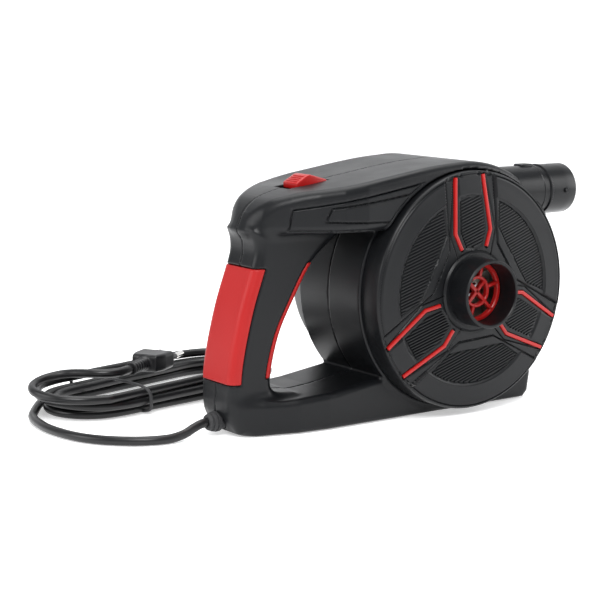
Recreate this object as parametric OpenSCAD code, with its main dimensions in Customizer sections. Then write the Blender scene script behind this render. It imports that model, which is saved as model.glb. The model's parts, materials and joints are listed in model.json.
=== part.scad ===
// Electric air mattress pump: volute with a tangential outlet, loop handle with a finger gap,
// slide switch on the head, and a mains lead tied in a hank.
// Frame: origin on the flat base where the two shells meet, +X to the outlet, -Y to the disc cover,
// +Z up.

/* [Body] */
// Height of the shaft axis above the floor
axis_z = 76; // [75:0.5:78]
// Distance of the shaft axis in front of the origin
axis_x = 30; // [29:0.5:31]
// Outside radius of the motor drum
drum_r = 74; // [73.5:0.25:74.5]
// Half width of the drum, the strut and the foot
drum_half = 30; // [29:0.5:31]
// Half width of the head at the drum
head_half = 42; // [41:0.5:43]
// Half width of the handle
handle_half = 17; // [16:0.5:18]
// Wall thickness of the mouldings
wall = 2.5; // [2.3:0.1:2.8]
// Height of the underside of the head
head_low = 116; // [115:0.5:117]

/* [Cover] */
// Radius of the disc cover
cover_r = 72; // [71.5:0.25:72.5]
// How far the rim plane of the cover stands out along -Y
cover_face = 46; // [45.5:0.25:46.5]
// Outside radius of the suction port
port_r = 20.5; // [20:0.25:21]
// How far the suction port stands out along -Y
port_face = 64; // [63:0.5:65]
// Radius inside which the sector panels are ribbed
panel_r = 57; // [56:0.5:58]
// Turn of the three spokes about the shaft, in degrees
spoke_turn = 3; // [0:0.5:6]

/* [Outlet] */
// Outside radius of the outlet tube
outlet_r = 15.5; // [15:0.1:16]
// Inside radius of the outlet tube
outlet_bore_r = 13; // [12.5:0.1:13.4]
// Height of the outlet axis
outlet_z = 131.5; // [131:0.25:132]
// Where the outlet axis lies across the pump
outlet_y = -26; // [-26.25:0.25:-25.5]
// Distance of the outlet's mouth in front of the origin
outlet_end = 118; // [117:0.5:119]

/* [Switch] */
// Width of the slider
slider_w = 14.4; // [14:0.1:15]
// Travel of the slider
slider_travel = 5; // [4:0.5:5.5]

/* [Motor] */
// Radius of the motor shaft
shaft_r = 3; // [2.8:0.1:3.2]
// Radius of the impeller
impeller_r = 50; // [48:1:51]
// Number of impeller blades
impeller_blades = 9; // [7:1:11]
// Number of blades on the cooling fan
fan_blades = 8; // [6:1:10]

/* [Cord] */
// Diameter of the mains lead
cord_d = 5.4; // [5.2:0.1:5.6]

/* [Hidden] */
$fn = 96;

shell_black = "#2b2c30";
accent_red = "#d8343f";
steel = "#b9bcc2";
copper = "#b86a35";

cover_back = -31;
hub_face = cover_face + 3;
crown_r = 77;
switch_x = -62;
switch_z = 142.2;
switch_tilt = 7.5;
shaft_gap = 0.05;
// Depth of the ribbed sector panels below the face of the cover
panel_depth = 0.8;
screw_r = 1.5;
screw_gap = 0.1;
boss_r = 4;
// Where the rear cap's flange is seated in the drum, and the flange's thickness
cap_seat = 27.4;
cap_flange = 3;
// Depth of the outlet's socket, and radius of the throat behind it
outlet_socket = 24;
outlet_throat_r = 11;
bayonet_x = 109.2;
// Height of the lead's axis where it leaves the heel, and radius of the grommet's body
lead_z = 8;
grommet_r = 4.6;
far = 400;

// Screw places in the side view of the two shells
housing_screws_at = [[-88, 127], [-104, 24], [-52, 9], [76, 10]];
// Bolts through the motor brackets, as angles about the shaft
motor_bolt_angles = [45, 225];
motor_bolt_r = 27;
// Screws of the disc cover and the rear cap, as angles and radii about the shaft
cover_screw_angles = [20, 110, 200, 290];
cover_screw_r = 67.6;
cap_screw_angles = [25, 155, 205, 335];
cap_screw_r = 68.4;
lug_r = 4.4;

// Rear and front outlines of the handle, from the head down to the strut
rear_line = [[-106, 118], [-104.6, 107], [-107, 97], [-115, 74.5], [-121.3, 50], [-124, 31],
             [-122.5, 14], [-116, 3]];
front_line = [[-38, 118], [-49, 111], [-65.5, 97.7], [-78, 78], [-89, 57], [-95, 33], [-92, 24], [-80, 20]];
// Top line of the head, from the rear to its highest point over the shaft
top_line = [[-98, 134], [-91, 137.2], [-78, 140.3], [-62, 142.2], [-46, 144.5], [-25, 147.5],
            [-8, 149.9], [10, 151.9], [30, 153]];

// Route of the lead from the grommet to the hank
cord_route = [[-112, 0, 8], [-131, 0, 8], [-138, -0.5, 6.5], [-146, -2, 4], [-155, -3, 3], [-164, -2, 3],
              [-173, 2, 3], [-181, 8, 3], [-188, 15, 3], [-194, 24, 3], [-198, 34, 3], [-200.5, 46, 3],
              [-201.5, 59, 3], [-200.5, 72, 3], [-198, 84, 3], [-193, 94, 3]];
// Middle, turn, half length, half width and height of the hank that lies behind the pump
hank_at = [-100, 108];
hank_turn = 12;
hank_half_x = 92;
hank_half_y = 40;
hank_h = 17;

// ---------- outline helpers ----------

// Point of a smooth curve that passes through four guide points in turn
function blend4(a, b, c, d, t) =
    0.5 * ((2 * b) + (c - a) * t + (2 * a - 5 * b + 4 * c - d) * t * t + (3 * b - a - 3 * c + d) * t * t * t);
function smooth(p, n = 5) = [
    for (i = [0 : len(p) - 2], k = [0 : n - 1])
        blend4(p[max(i - 1, 0)], p[i], p[i + 1], p[min(i + 2, len(p) - 1)], k / n),
    p[len(p) - 1]
];
function reversed(p) = [for (i = [len(p) - 1 : -1 : 0]) p[i]];

// Extrudes a side view, drawn in X and Z, from y0 to y1
module side(y0, y1) {
    translate([0, y1, 0]) rotate([90, 0, 0]) linear_extrude(y1 - y0) children();
}

// Extrudes a shape drawn about the shaft axis from y0 to y1
module disc(y0, y1) {
    side(y0, y1) translate([axis_x, axis_z]) children();
}

// Turns a profile of [radius, y] points about the shaft axis
module lathe(profile) {
    translate([axis_x, 0, axis_z])
        rotate([90, 0, 0])
            rotate_extrude() polygon([for (p = profile) [p[0], -p[1]]]);
}

// Rod along Y at a place in the side view
module rod(x, z, r, y0, y1) {
    translate([x, y1, z]) rotate([90, 0, 0]) cylinder(r = r, h = y1 - y0);
}

// Rod along Y at a radius and an angle about the shaft
module polar_rod(radius, angle, r, y0, y1) {
    rod(axis_x + radius * cos(angle), axis_z + radius * sin(angle), r, y0, y1);
}

// Turns its children about the shaft
module about_shaft(angle) {
    translate([axis_x, 0, axis_z]) rotate([0, -angle, 0]) translate([-axis_x, 0, -axis_z]) children();
}

// Moves its children from flat on the switch's seat to their place on the head
module on_switch() {
    translate([switch_x, 0, switch_z]) rotate([0, -switch_tilt, 0]) children();
}

// ---------- housing ----------

// Side view of the head, with its top arc and the round back over the volute
module head_outline(inset = 0) {
    union() {
        polygon(concat(
            [[-36, head_low + inset], [-108 + inset, head_low + inset], [-109.5 + 1.3 * inset, 118 + inset]],
            [for (p = smooth(top_line)) [max(p[0], -98 + inset), p[1] - inset]],
            [[axis_x, head_low + inset]]));
        intersection() {
            translate([axis_x, axis_z]) circle(r = crown_r - inset);
            translate([axis_x - 20, head_low + inset]) square([90, 60]);
        }
    }
}

// Plan of the head, narrow over the handle and wide over the volute
module head_plan(inset = 0) {
    side_line = [[-109.5, 3], [-108.5, 7.5], [-106, 11.5], [-101.5, 16.5], [-88, 25.5], [-74, 33.5],
                 [-60, 39.5], [-46, head_half]];
    edge = concat(side_line, [[112, head_half]]);
    polygon(concat([for (p = edge) [p[0] + inset, p[1] - inset]],
                   [for (p = reversed(edge)) [p[0] + inset, inset - p[1]]]));
}

module head_block(inset = 0) {
    intersection() {
        side(-head_half, head_half) head_outline(inset);
        translate([0, 0, head_low - 1]) linear_extrude(60) head_plan(inset);
    }
}

// Side view of the handle and its heel
module handle_outline(inset = 0) {
    rear = smooth(rear_line);
    front = reversed(smooth(front_line));
    polygon(concat([for (p = rear) [p[0] + inset, max(p[1], inset)]],
                   [[-108, inset], [-78, inset]],
                   [for (p = front) [p[0] - inset, p[1]]]));
}

// Side view of the strut, the base under the drum and the foot
module base_outline(inset = 0) {
    polygon(concat([[-108, inset], [88 - inset, inset], [92 - inset, 4 + inset], [94 - inset, 16]],
                   [[90 - inset, 34], [axis_x, 40 - inset], [-24, 27 - inset], [-60, 22 - inset], [-92, 20 - inset],
                    [-121.5 + inset, 20 - inset], [-122.5 + inset, 14], [-116 + inset, 3 + inset]]));
}

// Plan of the heel and the strut
module base_plan(inset = 0) {
    edge = [[-125, 8], [-122, 13], [-113, 17.5], [-104, 22], [-84, 28], [-64, drum_half], [96, drum_half]];
    polygon(concat([for (p = edge) [p[0] + inset, p[1] - inset]],
                   [for (p = reversed(edge)) [p[0] + inset, inset - p[1]]]));
}

module base_block(inset = 0) {
    intersection() {
        side(-drum_half, drum_half) base_outline(inset);
        translate([0, 0, -1]) linear_extrude(60) base_plan(inset);
    }
}

// Outside of both shells as one solid, without the drum's hollow
module shell_outside() {
    union() {
        head_block();
        side(-handle_half, handle_half) handle_outline();
        base_block();
        disc(cover_back, drum_half) circle(r = drum_r);
    }
}

module shell_hollow() {
    difference() {
        union() {
            head_block(wall);
            side(-handle_half + wall, handle_half - wall) handle_outline(wall);
            base_block(wall);
        }
        disc(cover_back - 20, drum_half + 20) circle(r = drum_r);
        for (p = housing_screws_at) rod(p[0], p[1], boss_r, -head_half, head_half);
    }
    disc(cover_back - 1, drum_half + 1) circle(r = drum_r - wall);
}

// Both shells before they are parted at the middle
module shells() {
    difference() {
        union() {
            difference() {
                shell_outside();
                shell_hollow();
            }
            for (a = cover_screw_angles) polar_rod(cover_screw_r, a, lug_r, cover_back, cover_back + 9);
            for (a = cap_screw_angles) polar_rod(cap_screw_r, a, lug_r, cap_seat - 9, cap_seat);
        }
        for (a = cover_screw_angles)
            polar_rod(cover_screw_r, a, screw_r + screw_gap, cover_back - 1, cover_back + 10);
        for (a = cap_screw_angles) polar_rod(cap_screw_r, a, screw_r - 0.1, cap_seat - 8, cap_seat + 1);
        // seat of the disc cover
        disc(-head_half - 2, cover_back) circle(r = cover_r + 1);
        // seat of the rear cap
        disc(cap_seat + cap_flange, head_half + 2) circle(r = drum_r - 6);
        // outlet passage
        outlet_rod(outlet_r + 0.1, axis_x + 10, outlet_end);
        // slot of the slider
        on_switch() translate([-slider_travel - 13.1, -slider_w / 2 - 0.4, -8])
            cube([slider_travel + 27, slider_w + 0.8, 30]);
        // wells of the two grips
        grip_wells();
        // grommet hole
        translate([-132, 0, lead_z]) rotate([0, 90, 0]) cylinder(r = grommet_r + 0.1, h = 20);
        for (p = housing_screws_at) {
            rod(p[0], p[1], screw_r + screw_gap, -9, 60);
            rod(p[0], p[1], 3.2, 9.5, 60);
        }
    }
}

module outlet_rod(r, x0, x1) {
    translate([x0, outlet_y, outlet_z]) rotate([0, 90, 0]) cylinder(r = r, h = x1 - x0);
}

// Round the rear of the handle, between the two heights of the rear grip
module rear_grip_outline(t) {
    line = grip_stretch(smooth(rear_line));
    polygon(concat(line, reversed([for (p = line) [p[0] + t, p[1]]])));
}

module front_grip_outline(t) {
    line = grip_stretch(smooth(front_line));
    polygon(concat(line, reversed([for (p = line) [p[0] - t, p[1]]])));
}

// Part of a handle outline that a grip covers
function grip_stretch(line) = [for (i = [10 : 25]) line[i]];

// Thickness of the grips and how far they wrap on to the handle's flanks
grip_t = 2.2;
rear_wrap = 7;
front_wrap = 5;
module grip_wells() {
    side(-handle_half - 1, handle_half + 1) {
        rear_grip_outline(grip_t);
        front_grip_outline(grip_t);
    }
    for (s = [-1, 1])
        side(s > 0 ? handle_half - 1.2 : -handle_half - 1, s > 0 ? handle_half + 1 : -handle_half + 1.2) {
            rear_grip_outline(rear_wrap);
            front_grip_outline(front_wrap);
        }
}

module near_shell() color(shell_black) {
    intersection() {
        shells();
        translate([-far, -far, -far]) cube([2 * far, far, 2 * far]);
    }
}

module far_shell() color(shell_black) {
    intersection() {
        shells();
        translate([-far, 0, -far]) cube([2 * far, far, 2 * far]);
    }
}

module rear_grip() color(accent_red) {
    side(-handle_half + 1.2, handle_half - 1.2) rear_grip_outline(grip_t - 0.02);
    for (s = [-1, 1])
        side(s > 0 ? handle_half - 1.2 : -handle_half, s > 0 ? handle_half : -handle_half + 1.2)
            rear_grip_outline(rear_wrap - 0.02);
}

module front_grip() color(accent_red) {
    side(-handle_half + 1.2, handle_half - 1.2) front_grip_outline(grip_t - 0.02);
    for (s = [-1, 1])
        side(s > 0 ? handle_half - 1.2 : -handle_half, s > 0 ? handle_half : -handle_half + 1.2)
            front_grip_outline(front_wrap - 0.02);
}

// ---------- volute ----------

// One side of a spoke, from the rim to the port, at a distance from the strip's line
function spoke_line(shift) = [[10.6 + shift, 69.5], [13.6 + shift, 36.2], [9.5 + shift, 25.9]];

module spoke_channel(width) {
    for (s = [-1, 1])
        scale([s, 1])
            polygon(concat(spoke_line(-width / 2), reversed(spoke_line(width / 2))));
}

module strips2d(width) {
    for (k = [0 : 2]) rotate(120 * k + spoke_turn) spoke_channel(width);
}

// Sector panels between the spokes
module panels2d() {
    difference() {
        circle(r = panel_r);
        circle(r = port_r + 9);
        for (k = [0 : 2])
            rotate(120 * k + spoke_turn)
                polygon([[0, 18], [-16, 26], [-21, 37], [-19, 80], [19, 80], [21, 37], [16, 26]]);
    }
}

module volute_cover() color(shell_black) {
    difference() {
        lathe([[18.3, -port_face], [port_r, -port_face], [port_r, -hub_face], [30, -hub_face],
               [54, -cover_face - 1], [cover_r - 2, -cover_face], [cover_r, -cover_face + 2], [cover_r, cover_back],
               [cover_r - wall, cover_back], [cover_r - wall, -cover_face + 4.5], [54, -cover_face + 1.5],
               [30, -hub_face + wall], [18.3, -hub_face + wall]]);
        intersection() {
            disc(-hub_face - 1, 0) panels2d();
            lathe([[0, -60], [panel_r, -60], [panel_r, panel_depth - cover_face - 0.9],
                   [30, panel_depth - hub_face], [0, panel_depth - hub_face]]);
        }
        disc(-hub_face - 1, -cover_face + 0.6) difference() {
            strips2d(3);
            circle(r = port_r + 4);
        }
    }
    for (a = cover_screw_angles) difference() {
        polar_rod(cover_screw_r, a, 3.2, -cover_face + 4, cover_back);
        polar_rod(cover_screw_r, a, screw_r, -cover_face + 7, cover_back + 1);
    }
}

module cover_seal() color("#1a1a1c")
    disc(cover_back + 0.05, cover_back + 1.45) difference() {
        circle(r = drum_r - wall - 0.1);
        circle(r = drum_r - wall - 1.9);
        for (a = cover_screw_angles) rotate(a) translate([cover_screw_r, 0]) circle(r = lug_r + 0.2);
    }

module accent_strips() color(accent_red)
    disc(-cover_face - 1.5, -cover_face + 0.6) difference() {
        strips2d(2.96);
        circle(r = port_r + 4);
    }

module intake_grille() color(accent_red) {
    disc(-50, -47) {
        difference() {
            circle(r = 18.2);
            circle(r = 15.8);
        }
        difference() {
            circle(r = 9.6);
            circle(r = 7.6);
        }
        for (a = [45, 135]) rotate(a) square([17, 2.4], center = true);
        for (a = [0 : 60 : 300]) rotate(a + 15) translate([8.4, -1.1]) square([8, 2.2]);
    }
}

// Spiral of the volute, widening from the tongue to the outlet
function spiral(a) = 52 + 9 * a / 300;
module volute_scroll() color("#35363a")
    disc(cover_back + 2, -14.2) difference() {
        polygon(concat([for (a = [0 : 10 : 300]) (spiral(a) + 2) * [cos(70 - a), sin(70 - a)]],
                       reversed([for (a = [0 : 10 : 300]) spiral(a) * [cos(70 - a), sin(70 - a)]])));
        for (a = motor_bolt_angles) rotate(a) translate([motor_bolt_r, 0]) circle(r = 2);
    }

module volute_back_plate() color("#35363a")
    disc(-14, -11.5) difference() {
        circle(r = drum_r - wall - 0.1);
        circle(r = 11.4);
        for (a = motor_bolt_angles) rotate(a) translate([motor_bolt_r, 0]) circle(r = screw_r + screw_gap);
    }

module outlet_nozzle() color(shell_black) {
    difference() {
        union() {
            outlet_rod(outlet_r, axis_x + 26, outlet_end);
            translate([82, outlet_y - 4, outlet_z + outlet_r - 1.5]) cube([11, 8, 2.5]);
        }
        outlet_rod(outlet_bore_r, outlet_end - outlet_socket, outlet_end + 1);
        outlet_rod(outlet_throat_r, axis_x, outlet_end);
        disc(cover_back - 20, 0) circle(r = 77.2);
        // ring groove in front of the lug
        difference() {
            outlet_rod(outlet_r + 1, 94, 97);
            outlet_rod(outlet_r - 0.6, 93, 98);
        }
    }
    // bayonet pins
    for (s = [-1, 1])
        translate([bayonet_x, outlet_y, outlet_z]) rotate([90 * s, 0, 0])
            translate([0, 0, outlet_r - 0.4]) cylinder(r = 1.6, h = 1.6);
}

module rear_cap() color(shell_black) {
    difference() {
        lathe([[0, 64], [50, 64], [58, 60], [61, 54], [65, cap_seat + cap_flange],
               [71.2, cap_seat + cap_flange], [71.2, cap_seat + 0.05], [62.4, cap_seat + 0.05],
               [58.6, 52], [56, 57.6], [49, 61.4], [0, 61.4]]);
        for (a = cap_screw_angles)
            polar_rod(cap_screw_r, a, screw_r + screw_gap, cap_seat - 1, cap_seat + cap_flange + 1);
        for (a = [0 : 15 : 345])
            about_shaft(a) translate([axis_x + 22, 60, axis_z - 1.3]) cube([24, 6, 2.6]);
    }
}

// ---------- motor ----------

module impeller() color("#d9d7d0") {
    lathe([[shaft_r, -40], [9, -40], [10, -20.5], [impeller_r, -19], [impeller_r, -17.4],
           [shaft_r, -17.4]]);
    disc(-33, -19.4) for (k = [0 : impeller_blades - 1]) rotate(k * 360 / impeller_blades)
        intersection() {
            translate([26, -17]) difference() {
                circle(r = 26);
                circle(r = 24.4);
            }
            translate([10.5, -4]) square([60, 60]);
            circle(r = impeller_r);
        }
}

module impeller_nut() color(steel)
    difference() {
        disc(-45, -40.4) circle(r = 5.5, $fn = 6);
        disc(-46, -40) circle(r = shaft_r);
    }

module motor_shaft() color(steel) disc(-45.4, 57) circle(r = shaft_r - 0.01);

armature_r = 17.5;
module armature_core() color("#8d9096")
    disc(4, 26) difference() {
        circle(r = armature_r);
        circle(r = shaft_r);
        for (a = [0 : 30 : 330]) rotate(a) translate([11, -0.9]) square([10, 1.8]);
    }

module armature_winding() color(copper) {
    for (y = [[-1.5, 3.8], [26.2, 31]])
        disc(y[0], y[1]) difference() {
            circle(r = 15.5);
            circle(r = shaft_r + 1.5);
        }
}

module commutator() color(copper)
    disc(32, 43) difference() {
        circle(r = 9);
        circle(r = shaft_r);
        for (a = [0 : 15 : 345]) rotate(a) translate([8, -0.2]) square([2, 0.4]);
    }

module cooling_fan() color("#d9d7d0") {
    disc(52, 53.6) difference() {
        circle(r = 28);
        circle(r = shaft_r);
    }
    disc(50, 56) difference() {
        circle(r = 6.5);
        circle(r = shaft_r);
    }
    disc(53.5, 58) for (k = [0 : fan_blades - 1]) rotate(k * 360 / fan_blades)
        translate([6.4, -0.7]) square([21, 1.4]);
}

// Plain sleeve bearing that the shaft runs in
module bearing(y0, y1) {
    disc(y0, y1) difference() {
        circle(r = 7);
        circle(r = shaft_r + shaft_gap);
    }
}
module front_bearing() color("#a58a4a") bearing(-10.5, -3.5);
module rear_bearing() color("#a58a4a") bearing(44.4, 49.2);

module bracket2d(reach) {
    difference() {
        union() {
            circle(r = 12);
            for (a = motor_bolt_angles) rotate(a) translate([0, -5]) square([motor_bolt_r, 10]);
            for (a = motor_bolt_angles) rotate(a) translate([motor_bolt_r, 0]) circle(r = 5);
            for (a = [135, 315]) rotate(a) translate([0, -5]) square([reach, 10]);
        }
        circle(r = 7.05);
        for (a = motor_bolt_angles) rotate(a) translate([motor_bolt_r, 0]) circle(r = screw_r + screw_gap);
    }
}
module front_bracket() color(steel) disc(-11.3, -7.5) bracket2d(30);
module rear_bracket() color(steel) disc(44.6, 48.4) bracket2d(58);

module stator_core() color("#8d9096")
    disc(4, 26) difference() {
        intersection() {
            circle(r = 36);
            square([62, 54], center = true);
        }
        circle(r = armature_r + 0.6);
        for (s = [-1, 1]) translate([0, s * 20.5]) square([26, 5], center = true);
        for (a = motor_bolt_angles) rotate(a) translate([motor_bolt_r, 0]) circle(r = screw_r + screw_gap);
    }

module field_coils() color(copper)
    for (s = [-1, 1]) disc(-3, 33) translate([0, s * 20.5]) square([25.4, 4.4], center = true);

module brush_holders() color("#3a2f28")
    for (s = [-1, 1])
        difference() {
            translate([axis_x + s * 20 - 9, 34, axis_z - 5]) cube([18, 9, 10]);
            translate([axis_x + s * 20 - 10, 35.4, axis_z - 3]) cube([20, 6.2, 6]);
        }

module carbon_brushes() color("#1d1d1f")
    for (s = [-1, 1])
        translate([axis_x + s * 14.9 - 5.3, 35.6, axis_z - 2.8]) cube([10.6, 5.8, 5.6]);

module brush_springs() color(steel)
    for (s = [-1, 1])
        translate([axis_x + s * 20.4, 38.5, axis_z]) rotate([0, 90 * s, 0])
            difference() {
                cylinder(r = 2.2, h = 8);
                cylinder(r = 1.6, h = 8);
            }

module screw(x, z, r, y_tip, y_head, head_r, head_h) {
    rod(x, z, r, y_tip, y_head);
    difference() {
        rod(x, z, head_r, y_head, y_head + head_h);
        translate([x - head_r * 0.7, y_head + head_h * 0.5, z - 0.4]) cube([head_r * 1.4, head_h, 0.8]);
        translate([x - 0.4, y_head + head_h * 0.5, z - head_r * 0.7]) cube([0.8, head_h, head_r * 1.4]);
    }
}

module motor_screws() color(steel)
    for (a = motor_bolt_angles)
        screw(axis_x + motor_bolt_r * cos(a), axis_z + motor_bolt_r * sin(a), screw_r, -15.5, 48.5, 3, 2);

module housing_screws() color(steel)
    for (p = housing_screws_at) screw(p[0], p[1], screw_r, -8, 9.6, 3, 2.2);

module cover_screws() color(steel)
    for (a = cover_screw_angles) {
        polar_rod(cover_screw_r, a, screw_r - 0.05, -cover_face + 8, cover_back + 9);
        polar_rod(cover_screw_r, a, 2.8, cover_back + 9, cover_back + 11);
    }

module cap_screws() color(steel)
    for (a = cap_screw_angles)
        screw(axis_x + cap_screw_r * cos(a), axis_z + cap_screw_r * sin(a), screw_r - 0.15, cap_seat - 7.5,
              cap_seat + cap_flange, 2.4, 1.6);

// ---------- switch ----------

module switch_slider() color(accent_red)
    on_switch() {
        rotate([90, 0, 0])
            linear_extrude(slider_w, center = true)
                polygon([[-12.6, -1.5], [-12.6, 2], [-2, 5.6], [0.5, 5.6], [12.6, 0.4], [12.6, -1.5]]);
        translate([-8, -4, -8]) cube([14, 8, 6.6]);
        translate([-14, -9, -5.6]) cube([26, 18, 1.4]);
    }

module switch_body() color("#202124")
    on_switch() difference() {
        translate([-20, -10, -21]) cube([36, 20, 12]);
        translate([-8 - slider_travel - 0.5, -4.4, -12]) cube([14 + slider_travel + 1, 8.8, 4]);
    }

// ---------- lead ----------

module cord_grommet() color("#141416")
    translate([0, 0, lead_z]) rotate([0, -90, 0]) difference() {
        union() {
            translate([0, 0, 111.8]) cylinder(r = grommet_r, h = 12);
            translate([0, 0, 111.8]) cylinder(r = 5.2, h = 1.2);
            translate([0, 0, 122.7]) cylinder(r1 = 6.2, r2 = 4.2, h = 7.3);
        }
        translate([0, 0, 111]) cylinder(r = cord_d / 2 + 0.15, h = 20);
    }

module cord_clamp() color("#35363a")
    difference() {
        translate([-111, -10, 11]) cube([8, 20, 4]);
        for (s = [-1, 1]) translate([-107, 7 * s, 4]) cylinder(r = screw_r + screw_gap, h = 20);
    }

module clamp_screws() color(steel)
    for (s = [-1, 1]) translate([-107, 7 * s, 5]) {
        cylinder(r = screw_r, h = 10.2);
        translate([0, 0, 10.2]) cylinder(r = 2.8, h = 1.8);
    }

module terminal_block() color("#d9d7d0")
    difference() {
        translate([-112, -8, 40]) cube([13, 16, 18]);
        for (s = [-1, 1]) translate([-105.5, 4 * s, 39]) cylinder(r = 1.8, h = 20);
    }

module inner_wires() color("#3b4fa0")
    for (s = [-1, 1]) translate([-105.5, 4 * s, 58.4]) rotate([0, 14.5, 0]) cylinder(r = 1.2, h = 50);

// Ring of a tube round a route point, square to the way the route runs there
function heading(p, i) = let(d = p[min(i + 1, len(p) - 1)] - p[max(i - 1, 0)]) d / norm(d);
function ring(c, d, r, n) = let(s = cross(d, [0, 0, 1]), u = s / norm(s), v = cross(u, d))
    [for (k = [0 : n - 1]) c + r * (cos(360 * k / n) * u + sin(360 * k / n) * v)];
module tube(p, r, n = 10) {
    rings = len(p);
    points = [for (i = [0 : rings - 1]) each ring(p[i], heading(p, i), r, n)];
    walls = [for (i = [0 : rings - 2], k = [0 : n - 1])
        [i * n + k, i * n + (k + 1) % n, (i + 1) * n + (k + 1) % n, (i + 1) * n + k]];
    ends = [[for (k = [n - 1 : -1 : 0]) k], [for (k = [0 : n - 1]) (rings - 1) * n + k]];
    polyhedron(points, concat(walls, ends), convexity = 6);
}

module mains_cord() color("#141416") tube(cord_route, cord_d / 2);

// Puts its children in the frame of the hank
module on_hank(x = 0, y = 0, z = 0) {
    translate([hank_at[0], hank_at[1], 0]) rotate([0, 0, hank_turn]) translate([x, y, z]) children();
}

module cord_hank() color("#141416")
    on_hank() linear_extrude(hank_h) {
        for (s = [-1, 1]) translate([s * (hank_half_x - hank_half_y), 0]) circle(r = hank_half_y);
        square([2 * (hank_half_x - hank_half_y), 2 * hank_half_y], center = true);
    }

module cord_tie() color("#141416")
    on_hank(-40) difference() {
        translate([0, -hank_half_y - 1.6, 0]) cube([2.6, 2 * hank_half_y + 3.2, hank_h + 1.6]);
        translate([-1, -hank_half_y - 0.05, -1]) cube([5, 2 * hank_half_y + 0.1, hank_h + 1.05]);
    }

// Puts its children in the frame of the plug, which lies on the hank
plug_turn = 33;
module on_plug(z) {
    translate([-106, 104, hank_h + z]) rotate([0, 0, plug_turn]) children();
}

module plug_body() color("#1b1b1d")
    on_plug(1.7) {
        translate([-10, -11, 0]) cube([20, 22, 11]);
        translate([-28, -4, 1.5]) cube([19, 8, 8]);
    }

module plug_pins() color(steel)
    on_plug(7.2)
        for (s = [-1, 1]) translate([10.1, 7.5 * s, 0]) rotate([0, 90, 0]) cylinder(r = 2, h = 19);

near_shell();
far_shell();
volute_cover();
cover_seal();
accent_strips();
intake_grille();
volute_scroll();
volute_back_plate();
outlet_nozzle();
rear_cap();
impeller();
impeller_nut();
motor_shaft();
armature_core();
armature_winding();
commutator();
cooling_fan();
front_bearing();
rear_bearing();
front_bracket();
rear_bracket();
stator_core();
field_coils();
brush_holders();
carbon_brushes();
brush_springs();
motor_screws();
switch_slider();
switch_body();
rear_grip();
front_grip();
cord_grommet();
cord_clamp();
clamp_screws();
terminal_block();
inner_wires();
housing_screws();
cover_screws();
cap_screws();
mains_cord();
cord_hank();
cord_tie();
plug_body();
plug_pins();
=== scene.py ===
"""Looks of an electric air mattress pump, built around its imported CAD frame.

Lengths in the classes are millimetres in the pump's own frame: origin on the flat base in
the plane where the shells meet, +X to the outlet, -Y to the disc cover, +Z up. Meshes are made in metres.
"""

import json
import logging
import math
import random
from dataclasses import dataclass, field
from enum import Enum
from typing import Callable, Sequence

import bmesh
import bpy
import numpy as np
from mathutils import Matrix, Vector

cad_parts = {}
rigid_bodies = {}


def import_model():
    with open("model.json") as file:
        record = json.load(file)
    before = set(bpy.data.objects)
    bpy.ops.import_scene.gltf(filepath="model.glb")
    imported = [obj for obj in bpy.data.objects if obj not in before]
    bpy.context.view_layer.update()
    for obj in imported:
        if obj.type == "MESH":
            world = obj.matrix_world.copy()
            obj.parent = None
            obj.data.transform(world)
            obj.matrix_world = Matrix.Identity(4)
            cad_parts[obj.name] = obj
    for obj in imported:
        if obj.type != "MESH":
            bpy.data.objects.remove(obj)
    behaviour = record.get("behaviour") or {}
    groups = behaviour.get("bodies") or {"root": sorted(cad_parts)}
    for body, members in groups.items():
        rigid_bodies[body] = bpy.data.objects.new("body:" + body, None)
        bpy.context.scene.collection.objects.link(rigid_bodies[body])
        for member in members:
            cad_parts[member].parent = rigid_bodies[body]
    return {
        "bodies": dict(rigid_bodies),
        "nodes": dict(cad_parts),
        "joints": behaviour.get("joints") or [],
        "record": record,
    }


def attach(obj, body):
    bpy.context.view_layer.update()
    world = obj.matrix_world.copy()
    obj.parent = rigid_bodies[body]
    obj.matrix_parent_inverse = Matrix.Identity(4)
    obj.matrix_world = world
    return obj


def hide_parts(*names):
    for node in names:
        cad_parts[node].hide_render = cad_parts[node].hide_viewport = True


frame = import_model()

LOG = logging.getLogger("pump")
MM = 0.001
Array = np.ndarray
Field = Callable[[Array, Array, Array], Array]


class Finish(Enum):
    """Material slots of the record, by the name that a piece asks for."""

    SHELL = "shell"
    COVER = "cover"
    ACCENT = "accent"
    GRIP = "grip"
    SEAL = "seal"
    INNER = "inner_black"
    NATURAL = "natural"
    STEEL = "steel"
    LAMINATIONS = "laminations"
    COPPER = "copper"
    BRONZE = "bronze"
    PHENOLIC = "phenolic"
    CARBON = "carbon"
    WIRE = "wire"
    LEAD = "lead"
    PLUG = "plug"
    PIN = "pin_metal"


# ---------------------------------------------------------------- fields and meshes


def smooth_union(a: Array, b: Array, k: float) -> Array:
    """Joins two distance fields with a fillet of about k.

    Args:
        a: First field.
        b: Second field.
        k: Width of the blend in millimetres.

    Returns:
        The joined field.
    """
    h = np.clip(0.5 + 0.5 * (b - a) / k, 0.0, 1.0)
    return b * (1 - h) + a * h - k * h * (1 - h)


def rounded(profile: Array, across: Array, radius: float) -> Array:
    """Crosses an outline with a width so that the edge between them has a true radius.

    Args:
        profile: Signed distance to the outline.
        across: Signed distance to the two flanks.
        radius: Edge radius in millimetres.

    Returns:
        The field of the rounded solid.
    """
    u = profile + radius
    v = across + radius
    return np.minimum(np.maximum(u, v), 0) + np.hypot(np.maximum(u, 0), np.maximum(v, 0)) - radius


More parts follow.
